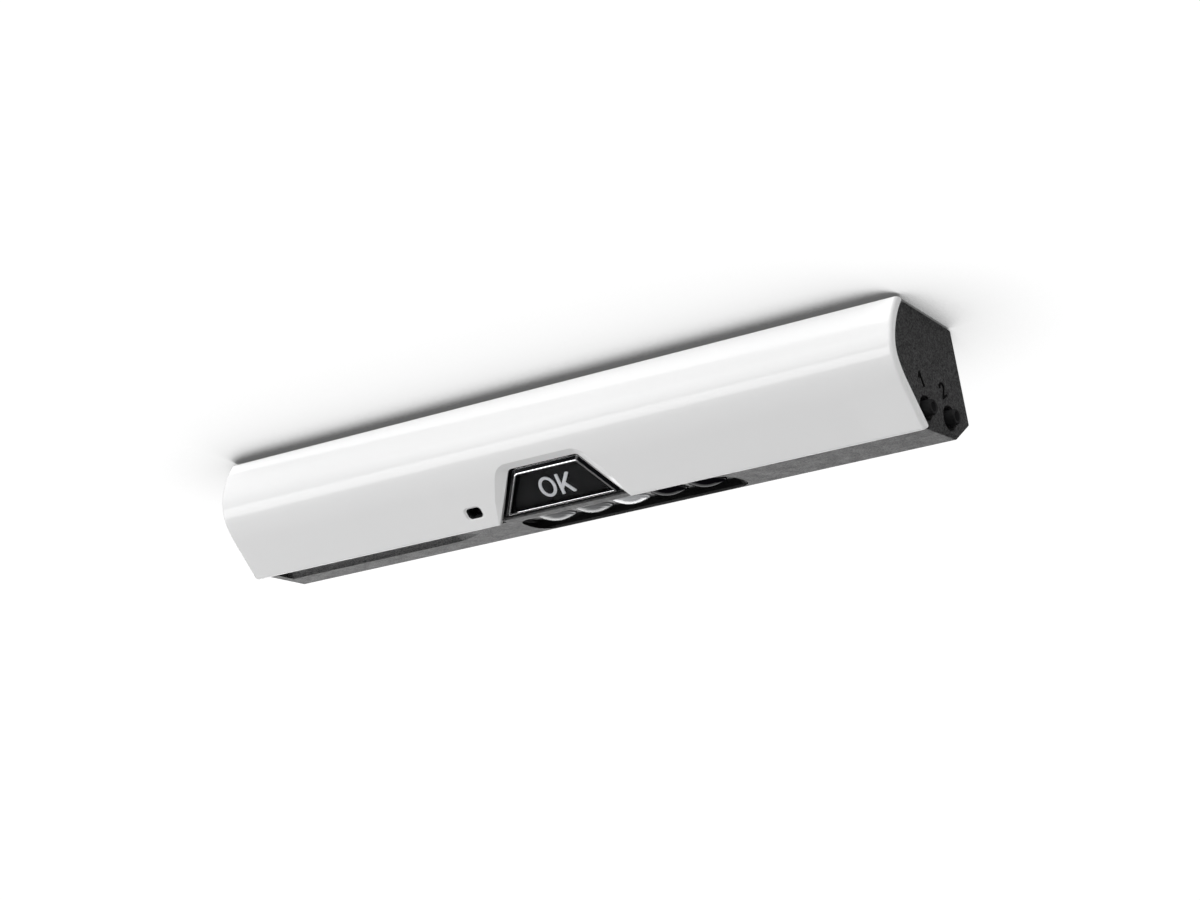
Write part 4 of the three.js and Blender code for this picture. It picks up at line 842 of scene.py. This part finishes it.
# Lens 3 gets a painted reflection and lenses 4 and 5 painted shade; all five are the same clear lens.
for number, (x, glass) in enumerate(zip(LENS_X, (LENS_CLEAR, LENS_CLEAR, LENS_PAINTED_REFLECTION, LENS_PAINTED_SHADE, LENS_PAINTED_SHADE)), 1):
    adopt(make_lens(number, x), "base", glass, f"lens_{number}")
for number in (1, 2):
    adopt(make_button(number), f"button_{number}", None, f"button_{number}_cap")
adopt(make_window(), "base", None, "display_window")
adopt(make_mask(), "base", PANEL)
board_parts()
soften(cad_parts["housing"], 0.25, 2, 40)

# ---------- stage ----------

def plane(name, size, z, down=False):
    corners = [(-size, -size, z), (size, -size, z), (size, size, z), (-size, size, z)]
    face = (3, 2, 1, 0) if down else (0, 1, 2, 3)
    obj = make_object(name, corners, [face], 1)
    return obj


def glowing(m, tone=None, value=1.0):
    """An emission node of one tone, or of a linked one."""
    glow = m.nodes.new("ShaderNodeEmission")
    if tone:
        m.links.new(tone, glow.inputs["Color"])
    else:
        glow.inputs["Color"].default_value = (value, value, value, 1)
    return glow.outputs["Emission"]


def ceiling_material():
    """White seen from below, with a soft shadow round the bar painted into its glow, and clear from above."""
    m = Material("ceiling_white", (0.9, 0.9, 0.9), 0.9)
    near = m.nodes.new("ShaderNodeAmbientOcclusion")
    near.samples = 12
    near.inputs["Distance"].default_value = 0.3
    glow = glowing(m, m.ramp(near.outputs["AO"], CEILING_PAINTED_SHADOW))
    back = m.nodes.new("ShaderNodeNewGeometry").outputs["Backfacing"]
    through = m.nodes.new("ShaderNodeBsdfTransparent")
    mix = m.nodes.new("ShaderNodeMixShader")
    for socket, output in (("Fac", back), (1, glow), (2, through.outputs["BSDF"])):
        m.links.new(output, mix.inputs[socket])
    m.links.new(mix.outputs["Shader"], m.nodes["Material Output"].inputs["Surface"])
    return m


# The ceiling's glow for each share of open sky, from the contact line out: a painted shadow round the bar.
CEILING_PAINTED_SHADOW = ((0.42, 0.13), (0.455, 0.2), (0.478, 0.31), (0.56, 0.64), (0.635, 0.81), (0.74, 0.88), (0.88, 0.95),
                 (1.0, 1.06))
FLOOR_Z = -1.5

ceiling = plane("ceiling", 4.0, 0.0001, down=True)
ceiling_material().give(ceiling)
ceiling.visible_shadow = False
ceiling.visible_glossy = False

# The floor lights the underside. What the camera sees of it is an even pale plane that lights nothing.
floor = plane("floor", 6.0, FLOOR_Z)
wear_roughness(Material("floor_pale", (0.5, 0.5, 0.5), 0.8), 0.75, 0.85, 4).give(floor)
floor.visible_glossy = False
floor.visible_camera = False
backdrop = plane("floor_backdrop", 60.0, FLOOR_Z)
even = Material("floor_even", (0.6, 0.6, 0.6), 0.9)
even.links.new(glowing(even, value=0.6), even.nodes["Material Output"].inputs["Surface"])
even.give(backdrop)
backdrop.visible_diffuse = False
backdrop.visible_glossy = False
backdrop.visible_shadow = False


def area(name, centre, target, width, height, power):
    light = bpy.data.lights.new(name, "AREA")
    light.shape = "RECTANGLE"
    light.size = width
    light.size_y = height
    light.energy = power
    obj = bpy.data.objects.new(name, light)
    obj.location = centre
    obj.rotation_euler = (Vector(target) - Vector(centre)).to_track_quat("-Z", "Y").to_euler()
    obj.visible_camera = False
    bpy.context.scene.collection.objects.link(obj)


# Name, centre, target, width, height and power in watts.
area("softbox_front_left", (-0.82, -1.14, -0.31), (0, 0, -0.31), 2.2, 0.5, 10)
area("softbox_low_back", (-1.9, 1.9, -0.85), (0, 0, -0.03), 2.8, 1.3, 30)
area("softbox_front_high", (0.1, -1.3, 0.5), (0, 0, -0.02), 2.6, 0.8, 5)
area("softbox_top", (-0.35, -0.35, 1.3), (0, 0, 0), 1.6, 1.2, 12)

world = bpy.data.worlds.new("world")
world.use_nodes = True
background = world.node_tree.nodes["Background"]
background.inputs["Color"].default_value = (1, 1, 1, 1)
background.inputs["Strength"].default_value = 0.92
world.cycles_visibility.diffuse = False
world.cycles_visibility.glossy = False
scene = bpy.context.scene
scene.world = world
scene.view_settings.view_transform = "Standard"
scene.view_settings.look = "None"

# ---------- camera ----------

lens = bpy.data.cameras.new("camera")
lens.lens = 84.95
lens.sensor_width = 36.0
lens.sensor_fit = "HORIZONTAL"
lens.clip_start = 0.01
camera = bpy.data.objects.new("camera", lens)
camera.location = (0.5785, -0.7967, -0.3674)
camera.rotation_euler = (rad(90 + 19.507), 0, rad(35.47))
scene.collection.objects.link(camera)
scene.camera = camera
